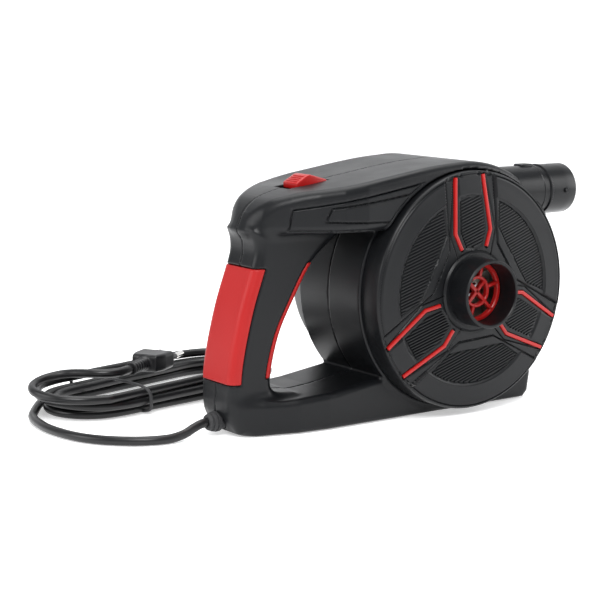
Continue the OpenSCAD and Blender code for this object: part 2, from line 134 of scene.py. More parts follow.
def outline_distance(px: Array, pz: Array, points: Sequence[tuple[float, float]]) -> Array:
    """Signed distance from points of a plane to a closed outline, negative inside.

    Args:
        px: First coordinates.
        pz: Second coordinates.
        points: The outline's corners in order.

    Returns:
        The distance at each point.
    """
    px, pz = np.broadcast_arrays(np.asarray(px, float), np.asarray(pz, float))
    best = np.full(px.shape, np.inf)
    inside = np.zeros(px.shape, bool)
    for (ax, az), (bx, bz) in zip(points, list(points[1:]) + [points[0]]):
        ex, ez = bx - ax, bz - az
        t = np.clip(((px - ax) * ex + (pz - az) * ez) / (ex * ex + ez * ez + 1e-12), 0, 1)
        best = np.minimum(best, (px - ax - t * ex) ** 2 + (pz - az - t * ez) ** 2)
        crosses = (az > pz) != (bz > pz)
        slope = ex / (ez if abs(ez) > 1e-12 else 1e-12)
        inside ^= crosses & (px < ax + (pz - az) * slope)
    return np.where(inside, -1.0, 1.0) * np.sqrt(best)


def smooth_line(points: Sequence[Sequence[float]], steps: int = 6) -> list[tuple[float, ...]]:
    """A curve that passes through its guide points.

    Args:
        points: Guide points of any dimension.
        steps: New points for each stretch.

    Returns:
        The curve's points.
    """
    guide = [np.array(p, float) for p in points]
    out: list[tuple[float, ...]] = []
    for i in range(len(guide) - 1):
        a = guide[max(i - 1, 0)]
        b, c = guide[i], guide[i + 1]
        d = guide[min(i + 2, len(guide) - 1)]
        for k in range(steps):
            t = k / steps
            p = 0.5 * (2 * b + (c - a) * t + (2 * a - 5 * b + 4 * c - d) * t * t
                       + (3 * b - a - 3 * c + d) * t ** 3)
            out.append(tuple(p))
    out.append(tuple(guide[-1]))
    return out


def surface_net(shape: Field, low: Sequence[float], high: Sequence[float], step: float) -> tuple[Array,
                                                                                                 Array]:
    """Meshes the zero level of a field with one vertex in each crossed cell.

    Args:
        shape: The field, which takes coordinate arrays that broadcast.
        low: Lowest corner of the region in millimetres.
        high: Highest corner of the region.
        step: Cell size.

    Returns:
        Vertices in millimetres and quads of vertex indices.
    """
    axes = [np.arange(low[i], high[i] + step, step) for i in range(3)]
    values = np.asarray(shape(axes[0][:, None, None], axes[1][None, :, None], axes[2][None, None, :]),
                        np.float32)
    values = np.broadcast_to(values, [len(a) for a in axes])
    sign = values < 0
    nx, ny, nz = (len(a) - 1 for a in axes)
    total = np.zeros((nx, ny, nz, 3), np.float32)
    count = np.zeros((nx, ny, nz), np.float32)
    corner = [(i, j, k) for i in (0, 1) for j in (0, 1) for k in (0, 1)]

    def part(block: Array, c: tuple[int, int, int]) -> Array:
        """The corner c of every cell."""
        return block[c[0]:c[0] + nx, c[1]:c[1] + ny, c[2]:c[2] + nz]

    for c in corner:
        for axis in range(3):
            if c[axis]:
                continue
            d = tuple(1 if i == axis else c[i] for i in range(3))
            v0, v1 = part(values, c), part(values, d)
            crossed = part(sign, c) != part(sign, d)
            t = np.where(crossed, v0 / np.where(crossed, v0 - v1, 1), 0)
            for i in range(3):
                total[..., i] += np.where(crossed, t if i == axis else c[i], 0)
            count += crossed
    used = count > 0
    index = np.full(used.shape, -1, np.int64)
    index[used] = np.arange(int(used.sum()))
    cell = np.argwhere(used)
    local = total[used] / count[used][:, None]
    verts = (cell + local) * step + np.array([a[0] for a in axes])
    quads = []
    for axis in range(3):
        u, v = (axis + 1) % 3, (axis + 2) % 3
        a = np.take(sign, range(0, sign.shape[axis] - 1), axis)
        b = np.take(sign, range(1, sign.shape[axis]), axis)
        at = np.argwhere(a != b)
        at = at[(at[:, u] > 0) & (at[:, v] > 0) & (at[:, u] < used.shape[u]) & (at[:, v] < used.shape[v])]
        flip = a[tuple(at.T)]
        ring = []
        for du, dv in ((0, 0), (1, 0), (1, 1), (0, 1)):
            c = at.copy()
            c[:, u] -= du
            c[:, v] -= dv
            ring.append(index[tuple(c.T)])
        quad = np.stack(ring, 1)
        quad[~flip] = quad[~flip][:, ::-1]
        quads.append(quad)
    return verts, np.concatenate(quads)[:, ::-1]


def settle(verts: Array, shape: Field, rounds: int = 3, reach: float = 0.6) -> Array:
    """Pulls vertices on to the zero level of a field along its slope.

    Args:
        verts: Vertices in millimetres.
        shape: The field.
        rounds: Number of pulls.
        reach: Longest move in one pull.

    Returns:
        The moved vertices.
    """
    eps = 0.05
    for _ in range(rounds):
        x, y, z = verts.T
        f = shape(x, y, z)
        g = np.stack([shape(x + eps, y, z) - shape(x - eps, y, z),
                      shape(x, y + eps, z) - shape(x, y - eps, z),
                      shape(x, y, z + eps) - shape(x, y, z - eps)], 1) / (2 * eps)
        size = np.maximum((g * g).sum(1), 0.2)
        move = -(f / size)[:, None] * g
        length = np.linalg.norm(move, axis=1, keepdims=True)
        verts = verts + move * np.minimum(1, reach / np.maximum(length, 1e-9)) * 0.8
    return verts


def linked(name: str, data: bpy.types.ID) -> bpy.types.Object:
    """Puts a mesh or a curve into the scene as an object.

    Args:
        name: Name of the object.
        data: The mesh or curve.

    Returns:
        The object.
    """
    obj = bpy.data.objects.new(name, data)
    bpy.context.scene.collection.objects.link(obj)
    return obj


def mesh_object(name: str, verts: Array | Sequence, faces: Sequence, smooth: bool = True) -> bpy.types.Object:
    """Makes a linked mesh object from millimetre vertices.

    Args:
        name: Piece name.
        verts: Vertices in millimetres.
        faces: Vertex indices of each face.
        smooth: Whether faces are shaded smooth.

    Returns:
        The object.
    """
    mesh = bpy.data.meshes.new(name)
    mesh.from_pydata((np.asarray(verts, float) * MM).tolist(), [], [list(map(int, f)) for f in faces])
    mesh.validate()
    mesh.polygons.foreach_set("use_smooth", [smooth] * len(mesh.polygons))
    obj = linked(name, mesh)
    return obj


def apply_modifiers(obj: bpy.types.Object) -> None:
    """Turns an object's modifiers into mesh."""
    graph = bpy.context.evaluated_depsgraph_get()
    mesh = bpy.data.meshes.new_from_object(obj.evaluated_get(graph))
    obj.modifiers.clear()
    obj.data = mesh


def from_field(name: str, shape: Field, low: Sequence[float], high: Sequence[float], step: float,
               limit: int = 190000) -> bpy.types.Object:
    """Meshes a field as a piece and thins it under a number of triangles.

    Args:
        name: Piece name.
        shape: The field.
        low: Lowest corner of its region.
        high: Highest corner of its region.
        step: Cell size.
        limit: Most triangles that the piece may have.

    Returns:
        The object.
    """
    verts, quads = surface_net(shape, low, high, step)
    verts = settle(verts, shape)
    obj = mesh_object(name, verts, quads)
    triangles = 2 * len(quads)
    if triangles > limit:
        thin = obj.modifiers.new("thin", "DECIMATE")
        thin.ratio = limit / triangles
        apply_modifiers(obj)
        obj.data.polygons.foreach_set("use_smooth", [True] * len(obj.data.polygons))
    return obj


def prism(name: str, outline: Sequence[tuple[float, float]], place: Callable[[float, float, float], tuple],
          depth: float, bevel: float, segments: int = 2) -> bpy.types.Object:
    """A plate of an outline, laid on a surface, with rounded top edges.

    Args:
        name: Piece name.
        outline: Corners in the plate's own plane.
        place: Gives the 3-D point, in millimetres, of a plane point and a height above the surface.
        depth: Thickness.
        bevel: Edge rounding.
        segments: Steps of the rounding.

    Returns:
        The object.
    """
    bm = bmesh.new()
    top = [bm.verts.new((x, z, depth)) for x, z in outline]
    low = [bm.verts.new((x, z, 0)) for x, z in outline]
    face = bm.faces.new(top)
    bm.faces.new(low[::-1])
    n = len(outline)
    for i in range(n):
        bm.faces.new((low[i], low[(i + 1) % n], top[(i + 1) % n], top[i]))
    bm.normal_update()
    if bevel > 0:
        bmesh.ops.bevel(bm, geom=list(face.edges), offset=bevel, segments=segments, profile=0.5,
                        affect="EDGES", clamp_overlap=True)
    bmesh.ops.recalc_face_normals(bm, faces=bm.faces)
    for v in bm.verts:
        v.co = Vector(place(v.co.x, v.co.y, v.co.z)) * MM
    bmesh.ops.recalc_face_normals(bm, faces=bm.faces)
    mesh = bpy.data.meshes.new(name)
    bm.to_mesh(mesh)
    bm.free()
    mesh.polygons.foreach_set("use_smooth", [True] * len(mesh.polygons))
    obj = linked(name, mesh)
    mesh.set_sharp_from_angle(angle=math.radians(35))
    return obj


def lathe_y(name: str, profile: Sequence[tuple[float, float]], axis: tuple[float, float], steps: int = 160,
            closed: bool = True) -> bpy.types.Object:
    """Turns a profile of (radius, y) points about an axis along Y.

    Args:
        name: Piece name.
        profile: The section's points.
        axis: X and Z of the axis.
        steps: Steps round the turn.
        closed: Whether the section's last point joins its first.

    Returns:
        The object.
    """
    n = len(profile)
    verts = []
    for k in range(steps):
        a = 2 * math.pi * k / steps
        for r, y in profile:
            verts.append((axis[0] + r * math.cos(a), y, axis[1] + r * math.sin(a)))
    faces = []
    for k in range(steps):
        m = (k + 1) % steps
        for i in range(n if closed else n - 1):
            j = (i + 1) % n
            faces.append((k * n + i, k * n + j, m * n + j, m * n + i))
    obj = mesh_object(name, verts, faces)
    tidy(obj)
    return obj


def tidy(obj: bpy.types.Object, angle: float = 35, merge: float = 0.002) -> None:
    """Merges doubled vertices, turns faces outwards and marks sharp edges.

    Args:
        obj: The piece.
        angle: Edges turned by more than this, in degrees, stay sharp.
        merge: Merge distance in millimetres.
    """
    bm = bmesh.new()
    bm.from_mesh(obj.data)
    bmesh.ops.remove_doubles(bm, verts=bm.verts, dist=merge * MM)
    bmesh.ops.dissolve_degenerate(bm, dist=merge * MM, edges=bm.edges)
    bmesh.ops.recalc_face_normals(bm, faces=bm.faces)
    bm.to_mesh(obj.data)
    bm.free()
    obj.data.polygons.foreach_set("use_smooth", [True] * len(obj.data.polygons))
    obj.data.set_sharp_from_angle(angle=math.radians(angle))


def joined(name: str, parts: Sequence[bpy.types.Object]) -> bpy.types.Object:
    """Joins meshes into one piece.

    Args:
        name: Name of the joined piece.
        parts: The meshes, which are used up.

    Returns:
        The piece.
    """
    verts: list = []
    faces: list = []
    for part in parts:
        base = len(verts)
        verts += [tuple(v.co) for v in part.data.vertices]
        faces += [[base + i for i in p.vertices] for p in part.data.polygons]
        bpy.data.objects.remove(part)
    mesh = bpy.data.meshes.new(name)
    mesh.from_pydata(verts, [], faces)
    mesh.polygons.foreach_set("use_smooth", [True] * len(mesh.polygons))
    mesh.set_sharp_from_angle(angle=math.radians(35))
    obj = linked(name, mesh)
    return obj


# ---------------------------------------------------------------- outside form

AXIS_X, AXIS_Z = 30.0, 76.0
DRUM_R, DRUM_HALF = 74.0, 30.0
WALL = 2.5
HEAD_LOW, CROWN_R = 116.0, 77.0
SWITCH_X, SWITCH_Z, SWITCH_TILT = -62.0, 142.2, math.radians(7.5)
SLIDER_W, SLIDER_TRAVEL = 14.4, 5.0
OUTLET_R, OUTLET_BORE, OUTLET_Y, OUTLET_Z, OUTLET_END = 15.5, 13.0, -26.0, 131.5, 118.0
COVER_BACK = -31.0
LEAD_Z, GROMMET_R = 8.0, 4.6
REAR_LINE = [(-106, 118), (-104.6, 107), (-107, 97), (-115, 74.5), (-121.3, 50), (-124, 31), (-122.5, 14),
             (-116, 3)]
FRONT_LINE = [(-38, 118), (-49, 111), (-65.5, 97.7), (-78, 78), (-89, 57), (-95, 33), (-92, 24), (-80, 20)]
HEAD_LINE = [(-108, HEAD_LOW), (-109.5, 118.5), (-104, 128), (-98, 134), (-91, 137.2), (-78, 140.3),
             (-62, 142.2),
             (-46, 144.5), (-25, 147.5), (-8, 149.9), (10, 151.9), (30, 153)]
HEAD_PLAN = [(-109.5, 3), (-108.5, 7.5), (-106, 11.5), (-101.5, 16.5), (-88, 25.5), (-74, 33.5), (-60, 39.5),
             (-46, 42), (112, 42)]
BASE_PLAN = [(-125, 8), (-122, 13), (-113, 17.5), (-104, 22), (-84, 28), (-64, 30), (96, 30)]
BASE_SIDE = [(-108, 0), (88, 0), (92, 4), (94, 16), (90, 34), (30, 40), (-24, 27), (-60, 22), (-92, 20),
             (-121.5, 20), (-122.5, 14), (-116, 3)]
GRIP_DEPTH, PANEL_DEPTH = 2.0, 1.0
PANEL_END_R = 75.5


def mirrored(edge: Sequence[tuple[float, float]]) -> list[tuple[float, float]]:
    """A plan outline made of one side and its mirror image."""
    return list(edge) + [(x, -y) for x, y in reversed(edge)]


class PumpForm:
    """Distance fields of the housing's outside, its hollow and the seats cut in it."""

    def __init__(self) -> None:
        rear = smooth_line(REAR_LINE, 5)
        front = smooth_line(FRONT_LINE, 5)
        self.handle_side = rear + [(-108, 0), (-78, 0)] + front[::-1]
        self.head_side = [(-36, HEAD_LOW)] + smooth_line(HEAD_LINE, 3) + [(AXIS_X, HEAD_LOW)]
        self.rear_zone = self.grip_zone(rear, (31.3, 96.5), 7.0, 7.0)
        self.front_zone = self.grip_zone(front, (33.0, 97.7), -5.0, -7.0)

    @staticmethod
    def grip_zone(line: list, span: tuple[float, float], inner: float,
                  outer: float) -> list[tuple[float, float]]:
        """Side view of the stretch of handle that a grip covers.

        Args:
            line: Handle outline from the head down.
            span: Lowest and highest Z of the grip.
            inner: Reach from the outline into the handle, along X.
            outer: Reach from the outline out of the handle.

        Returns:
            The closed outline.
        """
        levels = np.linspace(*span, 14)
        edge = np.interp(levels, [z for _, z in line[::-1]], [x for x, _ in line[::-1]])
        part = list(zip(edge, levels))
        return [(x - outer, z) for x, z in part] + [(x + inner, z) for x, z in reversed(part)]

    def head(self, x: Array, y: Array, z: Array) -> Array:
        """Head with its round back over the volute."""
        side = outline_distance(x, z, self.head_side)
        crown = np.maximum(np.hypot(x - AXIS_X, z - AXIS_Z) - CROWN_R,
                           np.maximum(HEAD_LOW - z, AXIS_X - 20 - x))
        side = np.minimum(side, crown)
        return rounded(side, outline_distance(x, y, mirrored(HEAD_PLAN)), 5.0)

    def handle(self, x: Array, y: Array, z: Array) -> Array:
        """Loop handle with its heel."""
        return rounded(outline_distance(x, z, self.handle_side), np.abs(y) - 17.0, 5.5)

    def base(self, x: Array, y: Array, z: Array) -> Array:
        """Strut under the finger gap, the base and the foot."""
        return rounded(outline_distance(x, z, BASE_SIDE), outline_distance(x, y, mirrored(BASE_PLAN)), 3.5)

    def outside(self, x: Array, y: Array, z: Array) -> Array:
        """Outside of both shells."""
        radius = np.hypot(x - AXIS_X, z - AXIS_Z)
        drum = rounded(radius - DRUM_R, np.abs(y + 0.5) - DRUM_HALF - 0.5, 1.0)
        f = smooth_union(self.head(x, y, z), self.handle(x, y, z), 6.0)
        f = smooth_union(f, self.base(x, y, z), 7.0)
        f = smooth_union(f, drum, 3.0)
        return rounded(f, -z, 1.2)

    def seats(self, x: Array, y: Array, z: Array, skin: Array) -> Array:
        """Everything that is cut out of the outside form.

        Args:
            x: X of the points.
            y: Y of the points.
            z: Z of the points.
            skin: The outside form's distance at the points.

        Returns:
            The distance field of the seats, wells, slots and the hollow.
        """
        radius = np.hypot(x - AXIS_X, z - AXIS_Z)
        grips = np.minimum(outline_distance(x, z, self.rear_zone), outline_distance(x, z, self.front_zone))
        cuts = [
            np.maximum(skin + WALL, DRUM_R - radius),
            np.maximum(radius - DRUM_R + WALL, np.abs(y) - DRUM_HALF - 5),
            np.maximum(radius - 73.0, y - COVER_BACK),
            np.maximum(radius - 68.0, DRUM_HALF + 0.4 - y),
            np.maximum(np.hypot(y - OUTLET_Y, z - OUTLET_Z) - OUTLET_R - 0.4, AXIS_X + 8 - x),
            np.maximum(np.hypot(y, z - LEAD_Z) - GROMMET_R - 0.1, x + 111),
            self.slot(x, y, z),
            np.maximum(grips - 0.35, -(skin + GRIP_DEPTH)),
            np.maximum(self.panel_zone(x, y, z, OUTER_PANEL) - 0.8, -(skin + PANEL_DEPTH)),
        ]
        out = cuts[0]
        for cut in cuts[1:]:
            out = np.minimum(out, cut)
        return out

    def slot(self, x: Array, y: Array, z: Array) -> Array:
        """Slot of the slide switch."""
        along = (x - SWITCH_X) * math.cos(SWITCH_TILT) + (z - SWITCH_Z) * math.sin(SWITCH_TILT)
        up = (z - SWITCH_Z) * math.cos(SWITCH_TILT) - (x - SWITCH_X) * math.sin(SWITCH_TILT)
        length = np.abs(along + SLIDER_TRAVEL / 2 - 1.2) - (SLIDER_TRAVEL + 23.2) / 2
        return np.maximum(np.maximum(length, np.abs(y) - SLIDER_W / 2 - 0.5), -8 - up)

    @staticmethod
    def panel_zone(x: Array, y: Array, z: Array, outline: Sequence[tuple[float, float]]) -> Array:
        """Side view of a raised panel, kept off the middle of the head and off the disc cover."""
        radius = np.hypot(x - AXIS_X, z - AXIS_Z)
        return np.maximum(np.maximum(outline_distance(x, z, outline), PANEL_END_R - radius), 6.0 - np.abs(y))


OUTER_PANEL = [(-87, 129.7), (-88.5, 118.7), (-31, 117.2), (-2, 117.2), (-2, 142.2)]
INNER_PANEL = [(-67, 130.1), (-70, 123.4), (-27, 121.4), (-2, 121), (-2, 137.3)]


# ---------------------------------------------------------------- shader groups and finishes


def new_group(name: str, inputs: dict[str, float], outputs: dict[str, str]) -> tuple:
    """Starts a shader node group.

    Args:
        name: Group name.
        inputs: Float inputs with their defaults.
        outputs: Outputs with their socket types.

    Returns:
        The group, its input node and its output node.
    """
    group = bpy.data.node_groups.new(name, "ShaderNodeTree")
    for label, value in inputs.items():
        item = group.interface.new_socket(name=label, in_out="INPUT", socket_type="NodeSocketFloat")
        item.default_value = value
    for label, kind in outputs.items():
        group.interface.new_socket(name=label, in_out="OUTPUT", socket_type=kind)
    return group, group.nodes.new("NodeGroupInput"), group.nodes.new("NodeGroupOutput")


def grain_group() -> bpy.types.NodeTree:
    """Spark-eroded mould texture: a fine height, a speckle mask and a slow mottle mask."""
    group, gin, gout = new_group("MouldGrain", {"Scale": 1.0},
                                 {"Height": "NodeSocketFloat", "Speck": "NodeSocketFloat",
                                  "Mottle": "NodeSocketFloat"})
    nodes, links = group.nodes, group.links
    coord = nodes.new("ShaderNodeTexCoord")
    scaled = nodes.new("ShaderNodeVectorMath")
    scaled.operation = "SCALE"
    links.new(coord.outputs["Object"], scaled.inputs[0])
    links.new(gin.outputs["Scale"], scaled.inputs["Scale"])
    fine = nodes.new("ShaderNodeTexNoise")
    fine.inputs["Scale"].default_value = 1500
    fine.inputs["Detail"].default_value = 3
    links.new(scaled.outputs[0], fine.inputs["Vector"])
    cells = nodes.new("ShaderNodeTexVoronoi")
    cells.inputs["Scale"].default_value = 1100
    links.new(scaled.outputs[0], cells.inputs["Vector"])
    mix = nodes.new("ShaderNodeMath")
    mix.operation = "MULTIPLY_ADD"
    mix.inputs[1].default_value = 0.6
    links.new(cells.outputs["Distance"], mix.inputs[0])
    links.new(fine.outputs["Fac"], mix.inputs[2])
    links.new(mix.outputs[0], gout.inputs["Height"])
    speck = nodes.new("ShaderNodeMapRange")
    speck.inputs["From Min"].default_value = 0.56
    speck.inputs["From Max"].default_value = 0.72
    links.new(fine.outputs["Fac"], speck.inputs["Value"])
    links.new(speck.outputs["Result"], gout.inputs["Speck"])
    slow = nodes.new("ShaderNodeTexNoise")
    slow.inputs["Scale"].default_value = 22
    slow.inputs["Detail"].default_value = 4
    links.new(scaled.outputs[0], slow.inputs["Vector"])
    links.new(slow.outputs["Fac"], gout.inputs["Mottle"])
    return group


def band_group() -> bpy.types.NodeTree:
    """Fine parallel bands along one axis of the piece, broken up by noise."""
    group, gin, gout = new_group("FineBands", {"Scale": 400.0, "Break": 1.5},
                                 {"Height": "NodeSocketFloat", "Mask": "NodeSocketFloat"})
    nodes, links = group.nodes, group.links
    coord = nodes.new("ShaderNodeTexCoord")
    wave = nodes.new("ShaderNodeTexWave")
    wave.bands_direction = "Y"
    wave.inputs["Detail"].default_value = 2
    links.new(coord.outputs["Object"], wave.inputs["Vector"])
    links.new(gin.outputs["Scale"], wave.inputs["Scale"])
    links.new(gin.outputs["Break"], wave.inputs["Distortion"])
    links.new(wave.outputs["Fac"], gout.inputs["Height"])
    noise = nodes.new("ShaderNodeTexNoise")
    noise.inputs["Scale"].default_value = 160
    noise.inputs["Detail"].default_value = 5
    links.new(coord.outputs["Object"], noise.inputs["Vector"])
    mask = nodes.new("ShaderNodeMath")
    mask.operation = "MULTIPLY"
    links.new(wave.outputs["Fac"], mask.inputs[0])
    links.new(noise.outputs["Fac"], mask.inputs[1])
    links.new(mask.outputs[0], gout.inputs["Mask"])
    return group


@dataclass(frozen=True)
class Look:
    """One finish: colours, gloss and texture of a material slot.

    Attributes:
        dark: Base colour.
        light: Colour that the mottle and specks lean to.
        rough: Lowest and highest roughness.
        bump: Strength of the texture.
        scale: Scale of the texture.
        metallic: 1 for metals.
        coat: Weight of a clear coat.
        bands: Whether fine bands are used in place of the mould grain.
        specular: Strength of the reflection at right angles.
    """

    dark: tuple[float, float, float]
    light: tuple[float, float, float]
    rough: tuple[float, float]
    bump: float = 0.12
    scale: float = 1.0
    metallic: float = 0.0
    coat: float = 0.0
    bands: bool = False
    specular: float = 0.5


LOOKS: dict[Finish, Look] = {
    Finish.SHELL: Look((0.0024, 0.0027, 0.0033), (0.0056, 0.0061, 0.0071), (0.28, 0.42), 0.10, specular=0.22),
    Finish.COVER: Look((0.0027, 0.0030, 0.0036), (0.0060, 0.0065, 0.0075), (0.30, 0.44), 0.10, specular=0.22),
    Finish.ACCENT: Look((0.30, 0.0060, 0.0055), (0.37, 0.010, 0.0090), (0.28, 0.38), 0.04, 0.8, coat=0.10,
                        specular=0.25),
    Finish.GRIP: Look((0.27, 0.0060, 0.0060), (0.33, 0.0100, 0.0095), (0.36, 0.50), 0.14, 0.8, specular=0.22),
    Finish.SEAL: Look((0.010, 0.010, 0.011), (0.022, 0.022, 0.024), (0.55, 0.75), 0.25),
    Finish.INNER: Look((0.016, 0.0165, 0.018), (0.028, 0.029, 0.031), (0.40, 0.55), 0.10),
    Finish.NATURAL: Look((0.62, 0.60, 0.53), (0.72, 0.71, 0.65), (0.35, 0.48), 0.06),
    Finish.STEEL: Look((0.48, 0.49, 0.51), (0.66, 0.67, 0.69), (0.22, 0.38), 0.05, 900, 1.0, bands=True),
    Finish.LAMINATIONS: Look((0.20, 0.205, 0.22), (0.42, 0.43, 0.45), (0.34, 0.50), 0.35, 320, 1.0,
                             bands=True),
    Finish.COPPER: Look((0.55, 0.20, 0.07), (0.80, 0.36, 0.16), (0.22, 0.36), 0.45, 260, 1.0, 0.5,
                        bands=True),
    Finish.BRONZE: Look((0.42, 0.27, 0.10), (0.58, 0.40, 0.18), (0.42, 0.58), 0.15, 1.0, 1.0),
    Finish.PHENOLIC: Look((0.085, 0.045, 0.028), (0.14, 0.08, 0.05), (0.34, 0.48), 0.08),
    Finish.CARBON: Look((0.012, 0.012, 0.013), (0.03, 0.03, 0.032), (0.50, 0.65), 0.12),
    Finish.WIRE: Look((0.035, 0.10, 0.42), (0.05, 0.14, 0.52), (0.32, 0.42), 0.05),
    Finish.LEAD: Look((0.0034, 0.0034, 0.0038), (0.0070, 0.0070, 0.0078), (0.28, 0.40), 0.06, 0.7,
                      specular=0.34),
    Finish.PLUG: Look((0.0055, 0.0055, 0.0061), (0.0105, 0.0105, 0.0118), (0.30, 0.44), 0.09, specular=0.34),
    Finish.PIN: Look((0.70, 0.69, 0.66), (0.82, 0.81, 0.79), (0.14, 0.24), 0.04, 700, 1.0, bands=True),
}


class Palette:
    """Makes each finish once and hands it out."""

    def __init__(self) -> None:
        self.grain = grain_group()
        self.bands = band_group()
        self.made: dict[Finish, bpy.types.Material] = {}

    def material(self, finish: Finish) -> bpy.types.Material:
        """The material of a finish, built on first use."""
        if finish not in self.made:
            self.made[finish] = self.build(finish, LOOKS[finish])
        return self.made[finish]

    def build(self, finish: Finish, look: Look) -> bpy.types.Material:
        """Builds one material from its look."""
        material = bpy.data.materials.new(finish.value)
        material.use_nodes = True
        nodes, links = material.node_tree.nodes, material.node_tree.links
        shader = nodes["Principled BSDF"]
        texture = nodes.new("ShaderNodeGroup")
        texture.node_tree = self.bands if look.bands else self.grain
        texture.inputs["Scale"].default_value = look.scale
        mask = texture.outputs["Mask" if look.bands else "Mottle"]
        colour = nodes.new("ShaderNodeMix")
        colour.data_type = "RGBA"
        colour.inputs["A"].default_value = (*look.dark, 1)
        colour.inputs["B"].default_value = (*look.light, 1)
        links.new(mask, colour.inputs["Factor"])
        links.new(colour.outputs["Result"], shader.inputs["Base Color"])
        rough = nodes.new("ShaderNodeMapRange")
        rough.inputs["From Min"].default_value = 0.3
        rough.inputs["From Max"].default_value = 0.7
        rough.inputs["To Min"].default_value = look.rough[0]
        rough.inputs["To Max"].default_value = look.rough[1]
        links.new(mask, rough.inputs["Value"])
        links.new(rough.outputs["Result"], shader.inputs["Roughness"])
        bump = nodes.new("ShaderNodeBump")
        bump.inputs["Strength"].default_value = look.bump
        bump.inputs["Distance"].default_value = 0.0002
        links.new(texture.outputs["Height"], bump.inputs["Height"])
        links.new(bump.outputs["Normal"], shader.inputs["Normal"])
        shader.inputs["Metallic"].default_value = look.metallic
        shader.inputs["Specular IOR Level"].default_value = look.specular
        shader.inputs["Coat Weight"].default_value = look.coat
        shader.inputs["Coat Roughness"].default_value = 0.18
        return material


@dataclass
class Bench:
    """What every sub-assembly needs: the frame, the palette and the mesh fineness."""

    frame: dict
    palette: Palette
    step: float

    def put(self, obj: bpy.types.Object, finish: Finish, body: str = "root", *nodes: str) -> bpy.types.Object:
        """Finishes a piece, lets it ride a body and marks the CAD nodes that it stands for.

        Args:
            obj: The piece, in place.
            finish: Its finish.
            body: The CAD body that it rides.
            *nodes: CAD nodes that it replaces.

        Returns:
            The piece.
        """
        obj.data.materials.clear()
        obj.data.materials.append(self.palette.material(finish))
        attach(obj, body)
        if nodes:
            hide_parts(*nodes)
        size = len(obj.data.polygons) if obj.type == "MESH" else 0
        LOG.info("%s: %d faces, %s, on %s", obj.name, size, finish.value, body)
        return obj


# ---------------------------------------------------------------- sub-assemblies


@dataclass
class Housing:
    """The two shells with their raised side panels and the two grips."""

    bench: Bench
    form: PumpForm = field(default_factory=PumpForm)

    def build(self) -> None:
        """Builds the shells, the side panels and the grips."""
        form, step = self.form, self.bench.step
        for name, node, sign in (("shell_near", "near_shell", -1), ("shell_far", "far_shell", 1)):
            def shell(x: Array, y: Array, z: Array, sign: int = sign) -> Array:
                """One shell: the outside form less its seats, on one side of the parting plane."""
                skin = form.outside(x, y, z)
                solid = np.maximum(skin, -form.seats(x, y, z, skin))
                return np.maximum(solid, 0.1 - sign * y)
            low = (-126, -43.5 if sign < 0 else -1, -1.5)
            high = (109, 1 if sign < 0 else 43.5, 155)
            self.bench.put(from_field(name, shell, low, high, step), Finish.SHELL, "root", node)
        self.panels()
        self.grips()

    def panels(self) -> None:
        """Raised trapezoids on both sides of the head, one on top of the other."""
        step = self.bench.step * 0.6
        for side, sign in (("near", -1), ("far", 1)):
            for layer, outline, rise, depth in (("outer", OUTER_PANEL, 0.0, 1.2),
                                                ("inner", INNER_PANEL, 0.7, 0.6)):
                def plate(x: Array, y: Array, z: Array, outline: list = outline, rise: float = rise,
                          depth: float = depth) -> Array:
                    """A plate that follows the head's side."""
                    zone = self.form.panel_zone(x, y, z, outline)
                    skin = self.form.outside(x, y, z)
                    solid = rounded(zone, np.maximum(skin - rise, -(skin + depth)), 0.4)
                    if rise:
                        return solid
                    groove = np.abs(self.form.panel_zone(x, y, z, INNER_PANEL) - 0.4) - 0.45
                    return np.maximum(solid, -np.maximum(groove, -(skin + 0.8)))
                low = (-91, -43.5 if sign < 0 else 6, 115)
                high = (0, -6 if sign < 0 else 43.5, 145)
                obj = from_field(f"head_panel_{side}_{layer}", plate, low, high, step, 60000)
                self.bench.put(obj, Finish.SHELL)

    def grips(self) -> None:
        """Soft red covers on the rear and the front of the handle."""
        form, step = self.form, self.bench.step * 0.8

        for name, node, zone, low, high in (
                ("grip_rear", "rear_grip", form.rear_zone, (-126, -18.5, 29), (-95, 18.5, 99)),
                ("grip_front", "front_grip", form.front_zone, (-102, -18.5, 30), (-57, 18.5, 100))):
            def cover(x: Array, y: Array, z: Array, zone: list = zone) -> Array:
                """A soft cover that is wrapped round one edge of the handle."""
                skin = form.outside(x, y, z)
                return rounded(outline_distance(x, z, zone), np.maximum(skin - 0.15, -(skin + 1.8)), 0.6)
            self.bench.put(from_field(name, cover, low, high, step), Finish.GRIP, "root", node)


COVER_R, RIM_Y, PORT_R, PORT_BORE, PORT_END = 72.0, -46.0, 20.5, 18.3, -64.0
SPOKE_TURN = 3.0
STRIP_LINE = [(10.6, 69.2), (13.6, 36.2), (9.5, 26.2)]


def polar(u: float, v: float, turn: float) -> tuple[float, float]:
    """Turns a point of a spoke's own frame (u right, v outward) into X and Z about the shaft."""
    a = math.radians(turn)
    return u * math.cos(a) - v * math.sin(a), u * math.sin(a) + v * math.cos(a)


def dome(radius: Array) -> Array:
    """Y of the cover's face at a radius."""
    return RIM_Y - np.interp(radius, [26, 40, 54, 66, 71], [3.0, 2.2, 1.15, 0.25, 0.0])


